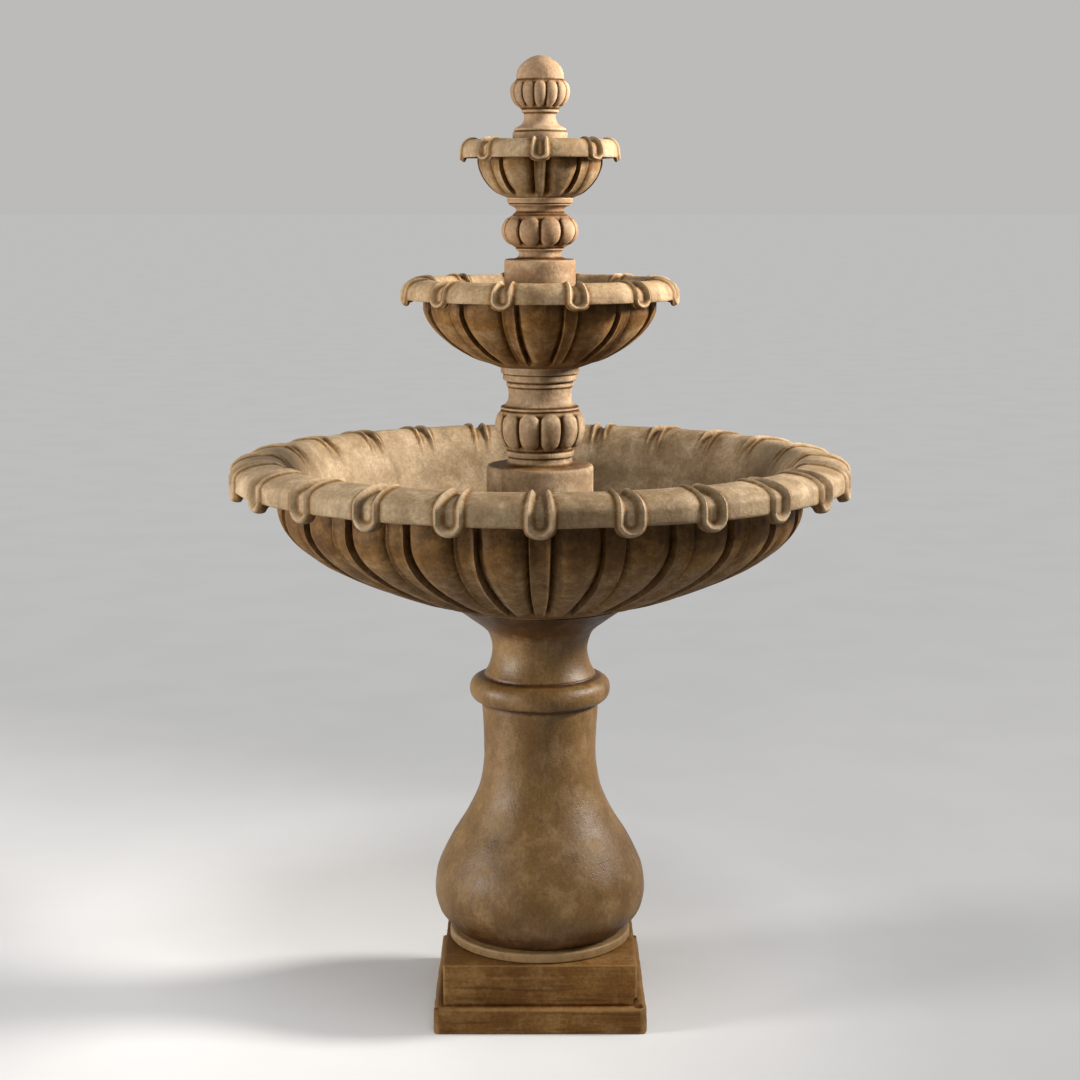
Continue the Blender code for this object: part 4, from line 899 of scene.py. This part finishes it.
upper_low, upper_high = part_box("upper_baluster")
seat = upper_low.z
RISER_RADIUS = 0.0662
UPPER_HEIGHT = upper_high.z - seat
drum = straight([(RISER_RADIUS - 0.002, 0.0), (RISER_RADIUS, 0.002), (RISER_RADIUS, 0.1610)],
                0.008) + flow([(RISER_RADIUS, 0.1610), (0.0648, 0.1645), (0.0610, 0.1662),
                               (0.0500, 0.1668), (0.0425, 0.1690), (0.0392, 0.1735),
                               (0.0390, 0.1785), (0.0415, 0.1815), (0.0445, 0.1830),
                               (0.0450, 0.1855), (0.0436, 0.1868)], 0.0018)
bulb = flow([(0.0436, 0.1868), (0.0480, 0.1880), (0.0590, 0.1940), (0.0680, 0.2045),
             (0.0716, 0.2170), (0.0690, 0.2300), (0.0610, 0.2415), (0.0500, 0.2465)], 0.0020)
shaft = flow([(0.0500, 0.2465), (0.0502, 0.2480), (0.0455, 0.2515), (0.0440, 0.2555),
              (0.0470, 0.2600), (0.0530, 0.2630), (0.0575, 0.2650), (0.0572, 0.2672),
              (0.0600, 0.2690), (0.0606, 0.2720), (0.0606, UPPER_HEIGHT)], 0.0018)
core = straight([(0.0606, UPPER_HEIGHT), (TUBE_BORE, UPPER_HEIGHT), (TUBE_BORE, 0.0),
                 (RISER_RADIUS - 0.002, 0.0)], 0.03)
# Dark lines in the creases: partly patina, partly painted shade.
upper_baluster = cast_in_the_round(
    "upper_baluster_casting",
    as_section(seat, drum=drum, bulb=bulb, shaft=shaft, inner=core[:-1]), 10, 16,
    gadrooned(10, seat + 0.1868, seat + 0.2465, 0.0072,
              ((seat + 0.1680, 0.0026), (seat + 0.1866, 0.0018), (seat + 0.2472, 0.0018),
               (seat + 0.2520, 0.0022), (seat + 0.2672, 0.0014))), FRONT + math.pi / 10)
hand_cast(upper_baluster, 0.040, 0.0010)
set_finish(upper_baluster, cast_stone("upper_baluster_cast_stone", (0.280, 0.172, 0.090, 1),
                                      (0.175, 0.100, 0.050, 1), DUSTY_PALE, wear_and_highlight=0.5))
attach(upper_baluster, "upper_baluster")
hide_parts("upper_baluster")

# ---- Top bowl -------------------------------------------------------------------------
# The smallest bowl, with eight spouts, cast and stained as the others. It sits on the
# upper baluster's collar and lifts off; its stopper seals the tube's hole.

top_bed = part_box("top_bowl")[0].z
TOP_BOWL = dict(
    rim=0.1432, crest=0.1225, waist=0.1125, foot=0.0610, height=0.1053, lip_depth=0.0333,
    waist_height=0.066, hole=0.0165, edge=0.0055, tuck=0.008, hook=0.0155, hang=0.0045,
    shoulder=0.0200, roll=0.66, lean=0.0, roll_in=0.012, inside=0.0945, floor=0.0257,
    floor_radius=0.060, belly=0.500, belly_rise=0.16, rows=30, spouts=8,
    rib_foot=0.0062, rib_top=0.0100, rib_proud=0.0026, rib_sunk=0.0012, groove=0.0022,
    flute=0.0060, ease=0.016, pillow=0.0030, fade_from=0.064, fade_to=0.082,
    turn=0.007, tongue_drop=0.0075, middle_face=0.0128, middle_crest=0.0098,
    bead_face=0.0056, bead_crest=0.0050, stand_face=0.0046, stand_crest=0.0036,
    trough=0.0036, dip=0.0024, run_in=0.42, shade_and_wash=0.20)
top_bowl = cast_in_the_round("top_bowl_casting", bowl_section(top_bed, TOP_BOWL),
                             TOP_BOWL["spouts"], 2 * HALF_COLUMNS,
                             bowl_relief(top_bed, TOP_BOWL))
hand_cast(top_bowl, 0.028, 0.0018)
set_finish(top_bowl, cast_stone("top_bowl_cast_stone", UPPER_TAN, UPPER_BROWN, DUSTY_PALE,
                                wear_and_highlight=0.25))
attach(top_bowl, "top_bowl")
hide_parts("top_bowl")

# ---- Finial ---------------------------------------------------------------------------
# The acorn that ends the column and lets the water out of its tip: a tall disc foot, a
# waist, a bulb of fourteen lobes and a dome. It stands in the top bowl and lifts off.

finial_low, finial_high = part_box("finial")
seat = finial_low.z
FINIAL_HEIGHT = finial_high.z - seat
PIPE_BORE = 0.0064
disc = straight([(0.0488, 0.0), (0.0504, 0.0018), (0.0504, 0.0905)], 0.006) + flow(
    [(0.0504, 0.0905), (0.0496, 0.0926), (0.0474, 0.0932), (0.0470, 0.0944), (0.0478, 0.0958),
     (0.0474, 0.0984), (0.0440, 0.1006), (0.0380, 0.1038), (0.0325, 0.1085), (0.0294, 0.1150),
     (0.0288, 0.1215), (0.0300, 0.1262), (0.0335, 0.1285), (0.0342, 0.1312),
     (0.0330, 0.1338)], 0.0016)
bulb = flow([(0.0330, 0.1338), (0.0360, 0.1345), (0.0440, 0.1395), (0.0520, 0.1500),
             (0.0553, 0.1620), (0.0550, 0.1715), (0.0510, 0.1810), (0.0452, 0.1856)], 0.0016)
dome = flow([(0.0452, 0.1856), (0.0436, 0.1862), (0.0434, 0.1885), (0.0430, 0.1960),
             (0.0405, 0.2050), (0.0350, 0.2130), (0.0270, 0.2205), (0.0170, 0.2265),
             (0.0090, FINIAL_HEIGHT - 0.0015), (PIPE_BORE, FINIAL_HEIGHT - 0.0007)], 0.0016)
core = straight([(PIPE_BORE, FINIAL_HEIGHT - 0.0007), (PIPE_BORE, 0.159), (TUBE_BORE, 0.159),
                 (TUBE_BORE, 0.0), (0.0488, 0.0)], 0.03)
# Dark lines in the creases: partly patina, partly painted shade.
finial = cast_in_the_round(
    "finial_casting",
    as_section(seat, disc=disc, bulb=bulb, dome=dome, inner=core[:-1]), 14, 14,
    gadrooned(14, seat + 0.1338, seat + 0.1860, 0.0058,
              ((seat + 0.0936, 0.0018), (seat + 0.1262, 0.0014), (seat + 0.1338, 0.0016),
               (seat + 0.1860, 0.0018))))
hand_cast(finial, 0.034, 0.0009)
set_finish(finial, cast_stone("finial_cast_stone", (0.310, 0.200, 0.115, 1),
                              (0.200, 0.120, 0.064, 1), DUSTY_PALE, wear_and_highlight=0.5))
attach(finial, "finial")
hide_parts("finial")

# ---- Floor, light and camera ----------------------------------------------------------
# A plain pale studio: one painted floor, an even surround, a key lamp high on the right,
# a weaker one low on the left, and soft light from overhead.

FLOOR_SIZE = 300.0
FLOOR_ROUGHNESS = 0.9
SURROUND_STRENGTH = 0.50
OVERHEAD_STRENGTH = 1.25
OVERHEAD_SOFTNESS = math.radians(22)
OVERHEAD_TURN = (math.radians(24), math.radians(10), 0)

clear_selection()
bpy.ops.mesh.primitive_plane_add(size=FLOOR_SIZE)
floor = bpy.context.object
floor.name = "studio_floor"
pale = Finish("studio_floor_paint")
tone = pale.span(pale.noise(3.0), 0.3, 0.7)
pale.feed(pale.shader.inputs["Base Color"],
          pale.mix(tone, (0.58, 0.58, 0.58, 1), (0.60, 0.60, 0.60, 1)))
pale.shader.inputs["Roughness"].default_value = FLOOR_ROUGHNESS
set_finish(floor, pale.material)

world = bpy.data.worlds.new("studio_surround")
bpy.context.scene.world = world
world.use_nodes = True
world.node_tree.nodes["Background"].inputs["Color"].default_value = (1.0, 0.99, 0.98, 1)
world.node_tree.nodes["Background"].inputs["Strength"].default_value = SURROUND_STRENGTH


def soft_light(name, place, aim, size, cone, watts, tint):
    """A round studio lamp that looks at a point, with its light held in a cone."""
    data = bpy.data.lights.new(name, "AREA")
    data.shape = "DISK"
    data.size = size
    data.energy = watts
    data.spread = math.radians(cone)
    data.color = tint
    lamp = bpy.data.objects.new(name, data)
    bpy.context.collection.objects.link(lamp)
    lamp.location = place
    run = [aim[k] - place[k] for k in range(3)]
    level = math.hypot(run[0], run[1])
    lamp.rotation_euler = (math.atan2(level, -run[2]), 0, math.atan2(-run[0], run[1]))


soft_light("key_right", (3.0, 0.10, 2.45), (0, 0, 1.42), 0.7, 54, 40, (1.0, 0.95, 0.89))
soft_light("low_left", (-3.0, -0.9, 1.20), (0, 0, 1.10), 1.0, 64, 20, (1.0, 0.97, 0.93))
overhead = bpy.data.lights.new("overhead", "SUN")
overhead.energy = OVERHEAD_STRENGTH
overhead.angle = OVERHEAD_SOFTNESS
overhead_lamp = bpy.data.objects.new("overhead", overhead)
bpy.context.collection.objects.link(overhead_lamp)
overhead_lamp.rotation_euler = OVERHEAD_TURN

CAMERA_DISTANCE = 3.92
CAMERA_HEIGHT = 1.553
CAMERA_DIP = math.radians(9.4)
SENSOR_WIDTH_MM = 36
LENS_LENGTH_MM = 70
lens = bpy.data.cameras.new("main_view")
lens.sensor_width = SENSOR_WIDTH_MM
lens.lens = LENS_LENGTH_MM
camera = bpy.data.objects.new("main_view", lens)
bpy.context.collection.objects.link(camera)
camera.location = (0, -CAMERA_DISTANCE, CAMERA_HEIGHT)
camera.rotation_euler = (math.pi / 2 - CAMERA_DIP, 0, 0)
bpy.context.scene.camera = camera
bpy.context.scene.view_settings.view_transform = "Standard"
